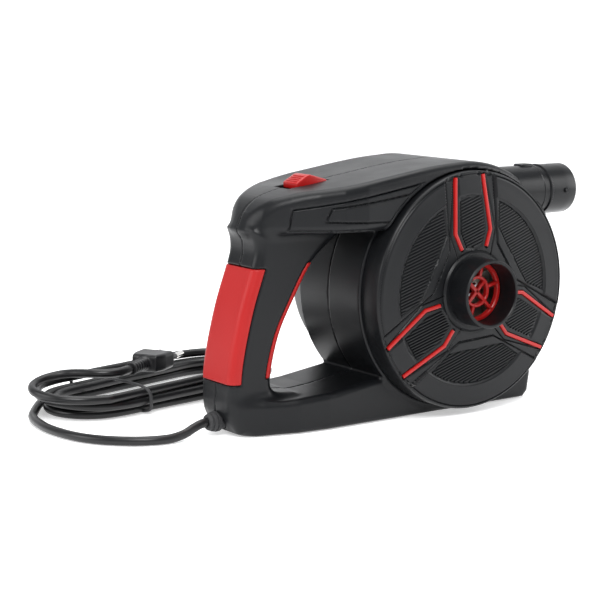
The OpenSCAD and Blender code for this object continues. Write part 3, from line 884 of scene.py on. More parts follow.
@dataclass
class DiscCover:
    """Volute cover: domed disc with relief, ribbed sectors, red strips, suction port and grille."""

    bench: Bench
    band_inner: float = 57.5
    plate_edge: float = 18.7
    groove: list = field(default_factory=lambda: [(11.6, 71.5), (17.7, 36.1), (12.1, 19.2)])
    sector: list = field(default_factory=lambda: [(21.6, 53), (19.9, 36), (26.6, 23.6), (37.4, 8.2)])
    middle: list = field(default_factory=lambda: [(0, 25), (6.0, 26.5), (9.6, 36.5), (8.2, 56.5), (0, 58)])

    def fold(self, x: Array, z: Array) -> tuple[Array, Array]:
        """Folds points about the shaft into one half of one spoke's own frame."""
        angle = np.arctan2(x, z) + math.radians(SPOKE_TURN)
        third = 2 * math.pi / 3
        angle = np.abs((angle + third / 2) % third - third / 2)
        radius = np.hypot(x, z)
        return radius * np.sin(angle), radius * np.cos(angle)

    def sector_zone(self) -> list[tuple[float, float]]:
        """A ribbed sector's outline in the folded frame, carried on past the fold."""
        arc = [polar(0, self.band_inner - 1.2, -a) for a in (22.5, 30, 38, 46, 54, 62, 70, 78)]
        return self.sector + arc[::-1]

    def relief(self, x: Array, z: Array) -> Array:
        """Height of the cover's face above its dome, in millimetres."""
        u, v = self.fold(x, z)
        radius = np.hypot(x, z)

        def step(d: Array, width: float = 0.5) -> Array:
            """1 inside a zone and 0 outside, with a soft edge."""
            t = np.clip(0.5 - d / width, 0, 1)
            return t * t * (3 - 2 * t)

        def line(d: Array, half: float) -> Array:
            """1 on a line, falling to 0 beyond its half width."""
            return step(np.abs(d) - half)

        height = -0.8 * step(23.4 - radius) * step(radius - 70.2)
        in_sector = np.maximum(self.plate_edge - u, 29.3 - (0.5 * v + 0.866 * u))
        height += 0.55 * step(in_sector)
        band = np.maximum(in_sector + 0.9, self.band_inner - radius)
        height += 1.0 * step(band) * step(radius - 69.6)
        height -= 0.9 * line(in_sector, 0.4) * step(radius - 71)
        ribs = outline_distance(u, v, self.sector_zone())
        height -= 0.95 * step(ribs)
        centre = outline_distance(u, v, self.middle + [(-8, 58), (-8, 25)])
        height -= 0.5 * step(centre)
        height += 0.45 * step(np.maximum(58.4 - radius, u - 8.9)) * step(radius - 69.8)
        gap = self.line_distance(u, v, self.groove)
        height -= 0.9 * line(gap, 0.35) * step(radius - 71.5) * step(24 - radius)
        strip = self.line_distance(u, v, STRIP_LINE)
        height -= 1.0 * step(strip - 1.35) * step(25.5 - radius)
        steps = step(np.abs(u - 14.9) - 1.6, 0.4) + step(np.abs(u - 7.0) - 1.0, 0.4)
        height -= 0.7 * np.minimum(steps, 1) * step(69.4 - radius)
        height -= 0.5 * line(radius - 24.4, 0.35)
        height *= step(radius - 71.4, 1.0)
        return height

    @staticmethod
    def line_distance(u: Array, v: Array, points: Sequence[tuple[float, float]]) -> Array:
        """Distance to an open line in the folded frame."""
        best = np.full(np.shape(u), np.inf)
        for (ax, az), (bx, bz) in zip(points, points[1:]):
            ex, ez = bx - ax, bz - az
            t = np.clip(((u - ax) * ex + (v - az) * ez) / (ex * ex + ez * ez), 0, 1)
            best = np.minimum(best, np.hypot(u - ax - t * ex, v - az - t * ez))
        return best

    def build(self) -> None:
        """Builds the disc, its ribs, the strips, the port and the grille."""
        self.disc()
        self.ribs()
        self.strips()
        self.grille()

    def disc(self) -> None:
        """The cover as one turned moulding whose front face carries the relief."""
        steps = 720
        face_r = np.concatenate([np.linspace(20.6, 70.6, 96), [71.2, 71.7]])
        a = np.arange(steps) * 2 * math.pi / steps
        ca, sa = np.cos(a)[:, None], np.sin(a)[:, None]
        x, z = face_r[None, :] * ca, face_r[None, :] * sa
        lip = np.interp(face_r, [70.6, 71.2, 71.7], [0.0, 0.22, 0.65])
        face_y = dome(face_r)[None, :] - self.relief(x, z) + lip[None, :]
        front = [(PORT_BORE, -47.2), (PORT_BORE, -54), (PORT_BORE + 0.1, PORT_END + 0.5),
                 (PORT_BORE + 0.6, PORT_END),
                 (PORT_R - 0.6, PORT_END), (PORT_R, PORT_END + 0.6), (PORT_R, -55), (PORT_R, -50.4),
                 (PORT_R + 0.05, -49.4)]
        back = [(72.0, -44.6), (72.0, -38), (72.0, COVER_BACK), (69.5, COVER_BACK), (69.5, -41.5),
                (54, -44.5),
                (30, -46.5), (19.2, -46.6)]
        profile_r = np.concatenate([[p[0] for p in front], face_r, [p[0] for p in back]])
        y = np.concatenate([np.tile([p[1] for p in front], (steps, 1)), face_y,
                            np.tile([p[1] for p in back], (steps, 1))], 1)
        n = len(profile_r)
        verts = np.stack([AXIS_X + profile_r * ca, y, AXIS_Z + profile_r * sa], -1).reshape(-1, 3)
        i = np.arange(steps)[:, None] * n + np.arange(n)[None, :]
        faces = np.stack([i, np.roll(i, -1, 1), np.roll(np.roll(i, -1, 1), -1, 0), np.roll(i, -1, 0)],
                         -1).reshape(-1, 4)
        obj = mesh_object("cover_disc", verts, faces)
        tidy(obj, 38)
        self.bench.put(obj, Finish.COVER, "root", "volute_cover")

    def rib_bars(self, name: str, zone: list[tuple[float, float]], turn: float, slope: float,
                 pitch: float) -> None:
        """Fine parallel ribs that fill a zone of the face.

        Args:
            name: Piece name.
            zone: Outline in the face's own plane, X and Z from the shaft.
            turn: Turn of the zone about the shaft; the ribs keep their own direction.
            slope: Angle of the ribs from X in degrees.
            pitch: Distance between ribs.
        """
        a = math.radians(slope)
        along, across = np.array([math.cos(a), math.sin(a)]), np.array([-math.sin(a), math.cos(a)])
        t = math.radians(turn)
        spin = np.array([[math.cos(t), -math.sin(t)], [math.sin(t), math.cos(t)]])
        points = [spin @ np.array(p) for p in zone]
        reach = [float(p @ across) for p in points]
        verts: list = []
        faces: list = []
        level = math.ceil(min(reach) / pitch) * pitch
        while level < max(reach):
            cuts = []
            for p, q in zip(points, points[1:] + points[:1]):
                sp, sq = float(p @ across) - level, float(q @ across) - level
                if (sp < 0) != (sq < 0):
                    cuts.append(float((p + (q - p) * sp / (sp - sq)) @ along))
            cuts.sort()
            for start, end in zip(cuts[::2], cuts[1::2]):
                if end - start > 1.5:
                    self.bar(verts, faces, along, across, level, start, end)
            level += pitch
        obj = mesh_object(name, verts, faces, smooth=True)
        tidy(obj, 50)
        self.bench.put(obj, Finish.COVER)

    @staticmethod
    def bar(verts: list, faces: list, along: Array, across: Array, level: float, start: float,
            end: float) -> None:
        """Adds one low rib with a rounded top to a mesh under construction."""
        section = [(-0.55, 1.4), (-0.42, 0.42), (-0.2, 0.3), (0.2, 0.3), (0.42, 0.42), (0.55, 1.4)]
        n = max(2, int((end - start) / 8) + 2)
        base = len(verts)
        for k in range(n):
            s = start + (end - start) * k / (n - 1)
            for w, drop in section:
                p = along * s + across * (level + w)
                y = float(dome(np.hypot(*p))) + drop
                verts.append((AXIS_X + p[0], y, AXIS_Z + p[1]))
        m = len(section)
        for k in range(n - 1):
            for i in range(m):
                j = (i + 1) % m
                faces.append((base + k * m + i, base + k * m + j, base + (k + 1) * m + j,
                              base + (k + 1) * m + i))
        faces.append([base + i for i in range(m)][::-1])
        faces.append([base + (n - 1) * m + i for i in range(m)])

    def ribs(self) -> None:
        """Ribs of the three sectors and of the three spokes' middles."""
        sector = self.outline_of_sector()
        middle = [(u, v) for u, v in self.middle if u > 0]
        middle = [(-u, v) for u, v in middle] + middle[::-1]
        for k in range(3):
            turn = -120 * k + SPOKE_TURN
            self.rib_bars(f"sector_ribs_{k + 1}", sector, turn, 18.0, 1.75)
            self.rib_bars(f"spoke_ribs_{k + 1}", self.shrunk(middle, 0.5), turn, 18.0, 1.75)

    def outline_of_sector(self) -> list[tuple[float, float]]:
        """Whole outline of a ribbed sector to the right of a spoke, slightly inside its pocket."""
        first = [(22.3, 52.6), (20.7, 36.2), (27.0, 24.6)]
        mirror = []
        for u, v in first[::-1]:
            k = 2 * (u * math.sin(math.pi / 3) + v * math.cos(math.pi / 3))
            mirror.append((k * math.sin(math.pi / 3) - u, k * math.cos(math.pi / 3) - v))
        arc = [polar(0, self.band_inner - 1.8, -a) for a in np.linspace(97, 23, 12)]
        return first + mirror + arc

    @staticmethod
    def shrunk(points: list[tuple[float, float]], by: float) -> list[tuple[float, float]]:
        """A convex outline with each corner moved towards its middle."""
        c = np.mean(points, 0)
        return [tuple(np.array(p) + (c - p) / np.linalg.norm(c - p) * by) for p in points]

    def strips(self) -> None:
        """Six narrow red strips in their channels, two for each spoke."""
        parts = []
        for k in range(3):
            for s in (-1, 1):
                line = [polar(s * u, v, -120 * k + SPOKE_TURN) for u, v in STRIP_LINE]
                parts.append(self.strip(line))
        obj = joined("cover_strips", parts)
        self.bench.put(obj, Finish.ACCENT, "root", "accent_strips")

    @staticmethod
    def strip(line: list[tuple[float, float]]) -> bpy.types.Object:
        """One strip: a low bar with rounded edges that follows a bent line over the dome."""
        section = [(-1.1, 1.75), (-1.1, 0.5), (-0.9, 0.15), (-0.5, 0.0), (0.5, 0.0), (0.9, 0.15), (1.1, 0.5),
                   (1.1, 1.75)]
        guide: list[Array] = []
        for p, q in zip(line, line[1:]):
            for t in np.linspace(0, 1, 7)[:-1]:
                guide.append(np.array(p) * (1 - t) + np.array(q) * t)
        guide.append(np.array(line[-1]))
        verts, faces = [], []
        m = len(section)
        for i, p in enumerate(guide):
            before, after = guide[max(i - 1, 0)], guide[min(i + 1, len(guide) - 1)]
            d1 = (p - before) if i else (after - p)
            d2 = (after - p) if i < len(guide) - 1 else d1
            d1, d2 = d1 / np.linalg.norm(d1), d2 / np.linalg.norm(d2)
            d = (d1 + d2) / np.linalg.norm(d1 + d2)
            side = np.array([-d[1], d[0]]) / max(0.5, float(d @ d1))
            for w, h in section:
                c = p + side * w
                verts.append((AXIS_X + c[0], float(dome(np.hypot(*c))) + h, AXIS_Z + c[1]))
        for i in range(len(guide) - 1):
            for j in range(m):
                k = (j + 1) % m
                faces.append((i * m + j, i * m + k, (i + 1) * m + k, (i + 1) * m + j))
        faces.append(list(range(m))[::-1])
        faces.append([(len(guide) - 1) * m + j for j in range(m)])
        obj = mesh_object("strip", verts, faces)
        tidy(obj, 40)
        return obj

    def grille(self) -> None:
        """Red grille in the port: outer ring, inner ring, six spokes and a cross."""
        def ring(r0: float, r1: float) -> bpy.types.Object:
            """A ring with rounded edges."""
            e = 0.4
            profile = [(r0, -47), (r0, -50 + e), (r0 + e, -50), (r1 - e, -50), (r1, -50 + e), (r1, -47)]
            return lathe_y("ring", profile, (AXIS_X, AXIS_Z), 96)

        def spoke(angle: float, r0: float, r1: float, width: float) -> bpy.types.Object:
            """A bar from one radius to another."""
            a = math.radians(angle)
            def place(u: float, v: float, h: float) -> tuple[float, float, float]:
                """Turns the bar to its angle."""
                return (AXIS_X + u * math.cos(a) - v * math.sin(a), -47.2 - h,
                        AXIS_Z + u * math.sin(a) + v * math.cos(a))
            w = width / 2
            return prism("bar", [(r0, -w), (r1, -w), (r1, w), (r0, w)], place, 2.8, 0.4)

        parts = [ring(15.8, 18.2), ring(7.6, 9.6)]
        parts += [spoke(a + 15, 8.6, 16.8, 2.0) for a in range(0, 360, 60)]
        parts += [spoke(a, -8.4, 8.4, 2.2) for a in (45, 135)]
        self.bench.put(joined("grille", parts), Finish.ACCENT, "root", "intake_grille")


def lathe_x(name: str, profile: Sequence[tuple[float, float]], axis: tuple[float, float], steps: int = 128,
            closed: bool = True) -> bpy.types.Object:
    """Turns a profile of (x, radius) points about an axis along X at the given Y and Z."""
    n = len(profile)
    verts = []
    for k in range(steps):
        a = 2 * math.pi * k / steps
        verts += [(x, axis[0] + r * math.cos(a), axis[1] + r * math.sin(a)) for x, r in profile]
    faces = []
    for k in range(steps):
        m = (k + 1) % steps
        for i in range(n if closed else n - 1):
            j = (i + 1) % n
            faces.append((k * n + i, k * n + j, m * n + j, m * n + i))
    obj = mesh_object(name, verts, faces)
    tidy(obj)
    return obj


def block(name: str, low: Sequence[float], high: Sequence[float], bevel: float,
          segments: int = 3) -> bpy.types.Object:
    """A block with every edge rounded.

    Args:
        name: Piece name.
        low: Lowest corner in millimetres.
        high: Highest corner in millimetres.
        bevel: Edge radius in millimetres.
        segments: Steps of the rounding.

    Returns:
        The object.
    """
    bm = bmesh.new()
    bmesh.ops.create_cube(bm, size=1)
    size, middle = np.subtract(high, low), np.add(high, low) / 2
    for v in bm.verts:
        v.co = Vector(np.array(v.co) * size * MM + middle * MM)
    bmesh.ops.bevel(bm, geom=list(bm.edges), offset=bevel * MM, segments=segments, profile=0.5,
                    affect="EDGES",
                    clamp_overlap=True)
    mesh = bpy.data.meshes.new(name)
    bm.to_mesh(mesh)
    bm.free()
    mesh.polygons.foreach_set("use_smooth", [True] * len(mesh.polygons))
    mesh.set_sharp_from_angle(angle=math.radians(40))
    obj = linked(name, mesh)
    return obj


def moved(obj: bpy.types.Object, place: Callable[[Array], Array]) -> bpy.types.Object:
    """Moves every vertex of a mesh through a function of its millimetre position."""
    co = np.empty(len(obj.data.vertices) * 3)
    obj.data.vertices.foreach_get("co", co)
    co = place(co.reshape(-1, 3) / MM) * MM
    obj.data.vertices.foreach_set("co", co.reshape(-1))
    obj.data.update()
    return obj


@dataclass
class Outlet:
    """Outlet tube with its ring groove, key lug and bayonet pins."""

    bench: Bench
    throat: float = 11.0
    socket: float = 24.0
    pin_x: float = 109.2

    def build(self) -> None:
        """Builds the tube, its lug and its pins as one moulding."""
        r, b, end = OUTLET_R, OUTLET_BORE, OUTLET_END
        profile = [(66, r), (84, r), (91.2, r), (91.6, r + 0.35), (92.8, r + 0.35), (93.2, r - 0.1),
                   (93.5, r - 0.6),
                   (96.5, r - 0.6), (96.8, r - 0.1), (97.2, r + 0.35), (98.2, r + 0.35), (98.6, r), (110, r),
                   (end - 0.9, r), (end - 0.25, r - 0.25), (end, r - 0.8), (end, b + 0.7),
                   (end - 0.4, b + 0.15),
                   (end - 1.2, b), (end - self.socket + 0.2, b), (end - self.socket, b - 0.2),
                   (end - self.socket, self.throat), (66, self.throat)]
        tube = lathe_x("tube", profile, (OUTLET_Y, OUTLET_Z), 144)
        lug = block("lug", (82, OUTLET_Y - 4, OUTLET_Z + r - 2), (91.4, OUTLET_Y + 4, OUTLET_Z + r + 1.0),
                    0.9)
        pins = [lathe_y("pin", [(0, s * (r - 1)), (1.6, s * (r - 1)), (1.6, s * (r + 0.9)),
                                (1.3, s * (r + 1.2)),
                                (0, s * (r + 1.2))], (self.pin_x, OUTLET_Z), 32, False) for s in (-1, 1)]
        for pin in pins:
            moved(pin, lambda co: co + np.array([0, OUTLET_Y, 0]))
        self.bench.put(joined("outlet_tube", [tube, lug] + pins), Finish.SHELL, "root", "outlet_nozzle")


@dataclass
class Switch:
    """Red slider with its ridge; the switch body below keeps its CAD shape."""

    bench: Bench

    def build(self) -> None:
        """Builds the slider in its own flat frame and lays it on the head."""
        line = [(-9.6, -1.5), (-9.6, 2.1), (-1.6, 5.3), (0.6, 5.5), (12.0, 0.5), (12.2, -1.5)]
        half = SLIDER_W / 2

        def flat(u: float, v: float, h: float) -> tuple[float, float, float]:
            """Stands the side view across the pump."""
            return (u, h - half, v)

        wedge = prism("wedge", line, flat, SLIDER_W, 0.0)
        edge = wedge.modifiers.new("edge", "BEVEL")
        edge.width = 0.8 * MM
        edge.segments = 3
        edge.limit_method = "ANGLE"
        edge.angle_limit = math.radians(25)
        apply_modifiers(wedge)
        tidy(wedge, 45)
        parts = [wedge]
        for x in (-8.0, -6.3, -4.6, -2.9):
            z = 2.1 + (x + 9.6) * 3.2 / 8.0
            rib = block("rib", (x - 0.4, -half + 2.0, z - 0.6), (x + 0.4, half - 2.0, z + 0.45), 0.3)
            parts.append(rib)
        parts.append(block("stem", (-8, -4, -8), (6, 4, -1.4), 0.3))
        parts.append(block("guide", (-14, -9, -5.6), (12, 9, -4.2), 0.3))
        slider = joined("switch_slider_cap", parts)
        c, s = math.cos(SWITCH_TILT), math.sin(SWITCH_TILT)
        turn = np.array([[c, 0, -s], [0, 1, 0], [s, 0, c]])
        moved(slider, lambda co: co @ turn.T + np.array([SWITCH_X, 0, SWITCH_Z]))
        self.bench.put(slider, Finish.ACCENT, "slider", "switch_slider")


@dataclass
class RearCap:
    """Motor cover at the back: a rounded dome with radial vents and a screw flange."""

    bench: Bench
    seat: float = 27.4
    flange: float = 3.0
    vents: int = 24

    def build(self) -> None:
        """Builds the cap as a turned shell whose vents are open slots between bars."""
        top = self.seat + self.flange
        outer = [(22, 63.9), (22.6, 64.0), (46, 64.0), (50, 63.7), (54, 62.6), (57.6, 60.4), (59.8, 57.2),
                 (61, 54), (65, top),
                 (70.8, top), (71.2, top - 0.4), (71.2, self.seat + 0.05)]
        inner = [(62.4, self.seat + 0.05), (58.6, 52), (56, 57.6), (52, 60.2), (48, 61.4), (22, 61.4)]
        steps = self.vents * 12
        profile = outer + inner
        n = len(profile)
        verts, faces = [], []
        for k in range(steps):
            a = 2 * math.pi * k / steps
            verts += [(AXIS_X + r * math.cos(a), y, AXIS_Z + r * math.sin(a)) for r, y in profile]
        vent_outer, vent_inner = {1}, {n - 2}
        for k in range(steps):
            m = (k + 1) % steps
            open_here = k % 12 in (4, 5, 6, 7)
            for i in range(n):
                j = (i + 1) % n
                if open_here and (i in vent_outer or i in vent_inner):
                    continue
                faces.append((k * n + i, k * n + j, m * n + j, m * n + i))
        for k in range(self.vents):
            for edge, flip in ((12 * k + 4, False), (12 * k + 8, True)):
                b = (edge % steps) * n
                ring = [b + 1, b + 2, b + n - 2, b + n - 1]
                faces.append(ring if flip else ring[::-1])
            for i, j in ((1, n - 1), (2, n - 2)):
                for q in range(4, 8):
                    a0, a1 = (12 * k + q) * n, ((12 * k + q + 1) % steps) * n
                    faces.append((a0 + i, a0 + j, a1 + j, a1 + i))
        shell = mesh_object("shell", verts, faces)
        tidy(shell, 40)
        hub = lathe_y("hub", [(0, 61.4), (22.2, 61.4), (22.2, 64.0), (21.0, 64.0), (20.4, 63.4), (19.6, 63.4),
                              (19, 64.0),
                              (8, 64.0), (7.4, 63.5), (0, 63.5)], (AXIS_X, AXIS_Z), 144, False)
        self.bench.put(joined("rear_cap_dome", [shell, hub]), Finish.SHELL, "root", "rear_cap")


@dataclass
class Lead:
    """Mains lead: loop from the grommet, racetrack turns of the hank, tail to the plug."""

    bench: Bench
    diameter: float = 5.4
    laps: float = 4.75
    middle: tuple[float, float] = (-100.0, 108.0)
    turn: float = math.radians(12)
    half_length: float = 52.0
    tie_u: float = -38.7

    def on_hank(self, u: float, v: float) -> tuple[float, float]:
        """World X and Y of a point of the hank's own frame."""
        c, s = math.cos(self.turn), math.sin(self.turn)
        return self.middle[0] + u * c - v * s, self.middle[1] + u * s + v * c

    def route(self) -> list[Array]:
        """Guide points of the whole lead in millimetres, from the grommet to the plug."""
        rng = random.Random(7)
        points = [(-116, 0, 8), (-131, 0, 8), (-138, -0.5, 6.5), (-146, -2, 4), (-155, -3, 2.9),
                  (-164, -2, 2.9),
                  (-173, 2, 2.9), (-181, 8, 2.9), (-188, 15, 2.9), (-194, 24, 2.9), (-198, 34, 2.9),
                  (-200.5, 46, 2.9), (-201.5, 59, 2.9), (-200.5, 72, 3.0), (-198, 84, 3.1), (-193, 95, 3.3)]
        steps = 24
        for k in range(2, int(self.laps * steps)):
            points.append(self.lap_point(k / steps, rng))
        points += self.tail()
        return [np.array(p, float) for p in points]

    def lap_point(self, at: float, rng: random.Random) -> tuple[float, float, float]:
        """A point of the winding after a number of laps, with a little disorder.

        Args:
            at: Laps since the left end; the winding goes in, up, out, up and in again.
            rng: Source of the disorder.

        Returns:
            X, Y and Z in millimetres.
        """
        radius = float(np.interp(at, [0, 1, 1.9, 2.1, 3, 3.9, 4.1, 5], [37, 31, 25.5, 25.5, 31, 37, 37, 31]))
        height = float(np.interp(at, [0, 1.9, 2.1, 3.9, 4.1, 5], [3.3, 3.3, 8.7, 8.7, 14.1, 14.1]))
        t = at % 1
        left = radius - 4
        if t < 0.125 or t >= 0.875:
            a = math.pi - 4 * math.pi * (t if t < 0.5 else t - 1)
            u, v = -self.half_length - 2 + left * math.cos(a), left * math.sin(a)
        elif 0.375 <= t < 0.625:
            a = math.pi / 2 - 4 * math.pi * (t - 0.375)
            u, v = self.half_length + radius * math.cos(a), radius * math.sin(a)
        else:
            far = t < 0.5
            s = (t - 0.125) / 0.25 if far else (0.875 - t) / 0.25
            wide = left + (radius - left) * s + rng.uniform(-0.3, 0.3)
            u, v = -self.half_length - 2 + (2 * self.half_length + 2) * s, wide if far else -wide
        return (*self.on_hank(u, v), height)

    @staticmethod
    def tail() -> list[tuple[float, float, float]]:
        """Last stretch, which leaves the near run, curls over the left end and runs into the plug's neck."""
        return [(-149.8, 63.6, 14.1), (-162.7, 62.3, 14.2), (-176.6, 65.3, 14.8), (-188.1, 73.3, 15.8),
                (-194.2, 85.5, 17.4), (-193.4, 94.6, 18.6), (-188.2, 102.1, 19.8), (-180.0, 105.9, 21.2),
                (-170.9, 105.1, 22.6), (-165.1, 101.7, 23.4), (-160.0, 95.3, 24.0), (-154.6, 89.3, 24.2),
                (-147.5, 85.1, 24.2), (-139.9, 84.6, 24.2), (-132.2, 87.4, 24.2), (-122, 93.9, 24.2)]

    def build(self) -> None:
        """Builds the lead as one curve, then its fittings."""
        guide = self.route()
        points = smooth_line(guide, 4)
        curve = bpy.data.curves.new("mains_lead", "CURVE")
        curve.dimensions = "3D"
        curve.bevel_depth = self.diameter / 2 * MM
        curve.bevel_resolution = 5
        curve.use_fill_caps = True
        spline = curve.splines.new("POLY")
        spline.points.add(len(points) - 1)
        for p, q in zip(spline.points, points):
            p.co = (q[0] * MM, q[1] * MM, q[2] * MM, 1)
        spline.use_smooth = True
        lead = linked("mains_lead", curve)
        self.bench.put(lead, Finish.LEAD, "root", "mains_cord", "cord_hank")
        plug = self.plug()
        tie = self.tie()
        grommet = self.grommet()

    def plug(self) -> list[bpy.types.Object]:
        """Two-pin plug with a waisted body, a ribbed neck and pins with insulated roots."""
        a = math.radians(33)
        turn = np.array([[math.cos(a), -math.sin(a), 0], [math.sin(a), math.cos(a), 0], [0, 0, 1]])
        origin = np.array([-106, 104, 24.2])

        def lay(co: Array) -> Array:
            """Puts the plug on the hank."""
            return co @ turn.T + origin

        def body(x: Array, y: Array, z: Array) -> Array:
            """Body and neck of the plug in its own frame."""
            width = 11.0 - 2.8 * np.clip((-x - 1) / 9, 0, 1) ** 1.5
            shell = rounded(np.maximum(np.abs(x) - 10, np.abs(y) - width), np.abs(z) - 5.5, 2.2)
            neck = np.maximum(np.hypot(y, z) - (3.7 + 0.3 * np.sin(x * 2.0)), np.abs(x + 18.5) - 9.5)
            return smooth_union(shell, neck, 3.5)

        core = from_field("plug_shell", body, (-29, -12, -6.5), (11, 12, 6.5),
                          max(0.6, self.bench.step * 0.6), 60000)
        moved(core, lay)
        self.bench.put(core, Finish.PLUG, "root", "plug_body")
        metal, sleeves = [], []
        for s in (-1, 1):
            tip = [(18.4, 0.0), (18.4, 1.9), (27.8, 1.9), (28.7, 1.5), (29.1, 0.7), (29.1, 0.0)]
            metal.append(lathe_x("tip", tip, (7.5 * s, 0), 40, False))
            root = [(9.5, 0.0), (9.5, 2.0), (18.2, 2.0), (18.5, 1.85), (18.5, 0.0)]
            sleeves.append(lathe_x("root", root, (7.5 * s, 0), 40, False))
        pins = joined("plug_tips", metal)
        moved(pins, lay)
        self.bench.put(pins, Finish.PIN, "root", "plug_pins")
        roots = joined("plug_roots", sleeves)
        moved(roots, lay)
        self.bench.put(roots, Finish.PLUG)
        return [core, pins, roots]

    def tie(self) -> bpy.types.Object:
        """Thin rubber ring drawn round the hank."""
        half = 37.6
        loop = []
        for k in range(64):
            a = 2 * math.pi * k / 64
            c, s = math.cos(a), math.sin(a)
            v = half * math.copysign(abs(c) ** 0.3, c)
            z = 9.2 + 8.4 * math.copysign(abs(s) ** 0.5, s)
            loop.append((*self.on_hank(self.tie_u + 0.8 * math.sin(2 * a), v), z))
        verts, faces = [], []
        for k, p in enumerate(loop):
            before, after = np.array(loop[k - 1]), np.array(loop[(k + 1) % 64])
            along = (after - before) / np.linalg.norm(after - before)
            side = np.array([math.cos(self.turn), math.sin(self.turn), 0])
            up = np.cross(along, side)
            up /= np.linalg.norm(up)
            for q in range(10):
                b = 2 * math.pi * q / 10
                verts.append(np.array(p) + side * 1.25 * math.cos(b) + up * 0.8 * math.sin(b))
        for k in range(64):
            for q in range(10):
                m, r = (k + 1) % 64, (q + 1) % 10
                faces.append((k * 10 + q, k * 10 + r, m * 10 + r, m * 10 + q))
        obj = mesh_object("hank_tie", verts, faces)
        tidy(obj, 60)
        return self.bench.put(obj, Finish.SEAL, "root", "cord_tie")

    def grommet(self) -> bpy.types.Object:
        """Strain relief: a short ribbed collar that leaves the heel."""
        r = self.diameter / 2 + 0.15
        profile = [(-111.8, r), (-111.8, 5.2), (-113.1, 5.2), (-113.3, GROMMET_R), (-122.6, GROMMET_R),
                   (-122.8, 6.0), (-124.6, 6.1), (-124.9, 5.3), (-125.5, 5.3), (-125.8, 5.8), (-127.2, 5.5),
                   (-127.5, 4.7), (-128.1, 4.7), (-128.4, 5.0), (-129.6, 4.5), (-130, 4.1), (-130, r)]
        obj = lathe_x("strain_relief", profile, (0, LEAD_Z), 72)
        return self.bench.put(obj, Finish.SEAL, "root", "cord_grommet")


@dataclass
class Inside:
    """Motor, impeller, switch and wiring, which keep their CAD meshes and get real finishes."""

    bench: Bench

    def build(self) -> None:
        """Gives each CAD node that still shows its own finish and soft edges."""
        slots = {part["node"]: part["material_slot"] for part in self.bench.frame["record"]["subparts"]}
        for name, node in self.bench.frame["nodes"].items():
            if node.hide_render:
                continue
            finish = Finish(slots[name])
            node.data.materials.clear()
            node.data.materials.append(self.bench.palette.material(finish))
            edge = node.modifiers.new("edge", "BEVEL")
            edge.width = 0.2 * MM
            edge.segments = 2
            edge.limit_method = "ANGLE"
            edge.angle_limit = math.radians(40)
            LOG.info("%s keeps its CAD mesh in %s", name, finish.value)


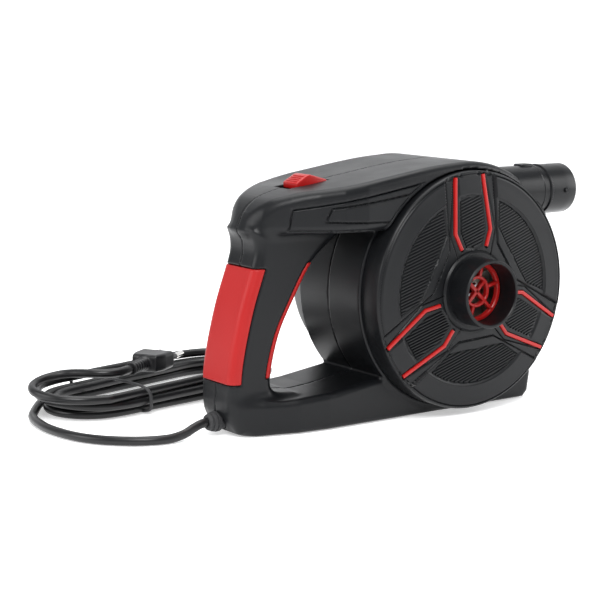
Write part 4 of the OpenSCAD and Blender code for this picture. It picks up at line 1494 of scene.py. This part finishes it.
@dataclass(frozen=True)
class Studio:
    """Camera, floor and soft light."""

    target: tuple[float, float, float] = (-0.0554, 0.0128, 0.0705)
    azimuth: float = -35.07
    elevation: float = 9.5
    distance: float = 1.0194
    lens: float = 102.0

    def build(self) -> None:
        """Sets up the camera, the floor and the lights."""
        scene = bpy.context.scene
        a, e = math.radians(self.azimuth), math.radians(self.elevation)
        back = Vector((math.sin(a) * math.cos(e), -math.cos(a) * math.cos(e), math.sin(e)))
        camera = bpy.data.cameras.new("camera")
        camera.lens = self.lens
        camera.sensor_width = 36
        camera.clip_start = 0.05
        eye = bpy.data.objects.new("camera", camera)
        eye.location = Vector(self.target) + back * self.distance
        eye.rotation_euler = (-back).to_track_quat("-Z", "Y").to_euler()
        scene.collection.objects.link(eye)
        scene.camera = eye
        self.floor()
        self.area("key", (-0.55, -0.75, 0.95), 0.55, 13.5)
        self.area("top", (0.10, 0.15, 1.10), 0.9, 11.0)
        self.area("side", (0.95, -0.55, 0.45), 0.7, 7.0)
        self.area("left", (-1.0, 0.25, 0.45), 0.6, 5.0)
        world = bpy.data.worlds.new("world")
        world.use_nodes = True
        world.node_tree.nodes["Background"].inputs["Color"].default_value = (0.95, 0.97, 1.0, 1)
        world.node_tree.nodes["Background"].inputs["Strength"].default_value = 0.42
        scene.world = world
        scene.view_settings.view_transform = "Standard"

    def floor(self) -> None:
        """A pale floor that curves up into a wall behind the pump, without a horizon."""
        a = math.radians(self.azimuth)
        right, away = Vector((math.cos(a), math.sin(a), 0)), Vector((-math.sin(a), math.cos(a), 0))
        bend, start, level = 1.2, 1.4, -0.0002
        profile = [(-3.0, level), (start, level)]
        for k in range(1, 17):
            turn = math.radians(90 * k / 16)
            profile.append((start + bend * math.sin(turn), level + bend * (1 - math.cos(turn))))
        profile.append((start + bend, 3.5))
        bm = bmesh.new()
        rows = []
        for depth, height in profile:
            rows.append([bm.verts.new(away * depth + right * side + Vector((0, 0, height)))
                         for side in (-4, 4)])
        for low, high in zip(rows, rows[1:]):
            face = bm.faces.new((low[0], low[1], high[1], high[0]))
            face.smooth = True
        mesh = bpy.data.meshes.new("floor")
        bm.to_mesh(mesh)
        bm.free()
        floor = bpy.data.objects.new("floor", mesh)
        material = bpy.data.materials.new("floor")
        material.use_nodes = True
        shader = material.node_tree.nodes["Principled BSDF"]
        shader.inputs["Base Color"].default_value = (0.88, 0.88, 0.885, 1)
        shader.inputs["Roughness"].default_value = 0.8
        shader.inputs["Emission Color"].default_value = (1, 1, 1, 1)
        shader.inputs["Emission Strength"].default_value = 0.45
        mesh.materials.append(material)
        bpy.context.scene.collection.objects.link(floor)

    @staticmethod
    def area(name: str, place: tuple[float, float, float], size: float, power: float) -> None:
        """A soft square lamp that looks at the pump.

        Args:
            name: Lamp name.
            place: Where it hangs, in metres.
            size: Side of the lamp.
            power: Power in watts.
        """
        data = bpy.data.lights.new(name, "AREA")
        data.size = size
        data.energy = power
        lamp = bpy.data.objects.new(name, data)
        lamp.location = place
        lamp.rotation_euler = (Vector((-0.02, 0, 0.07)) - Vector(place)).to_track_quat("-Z", "Y").to_euler()
        bpy.context.scene.collection.objects.link(lamp)


def main() -> None:
    """Builds the pump from its classes in order."""
    logging.basicConfig(level=logging.INFO, format="%(name)s: %(message)s")
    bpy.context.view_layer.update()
    bench = Bench(frame, Palette(), 0.9)
    Studio().build()
    for part in (Lead(bench), Housing(bench), DiscCover(bench), Outlet(bench), Switch(bench), RearCap(bench),
                 Inside(bench)):
        LOG.info("building %s", type(part).__name__)
        part.build()


if __name__ == "__main__":
    main()
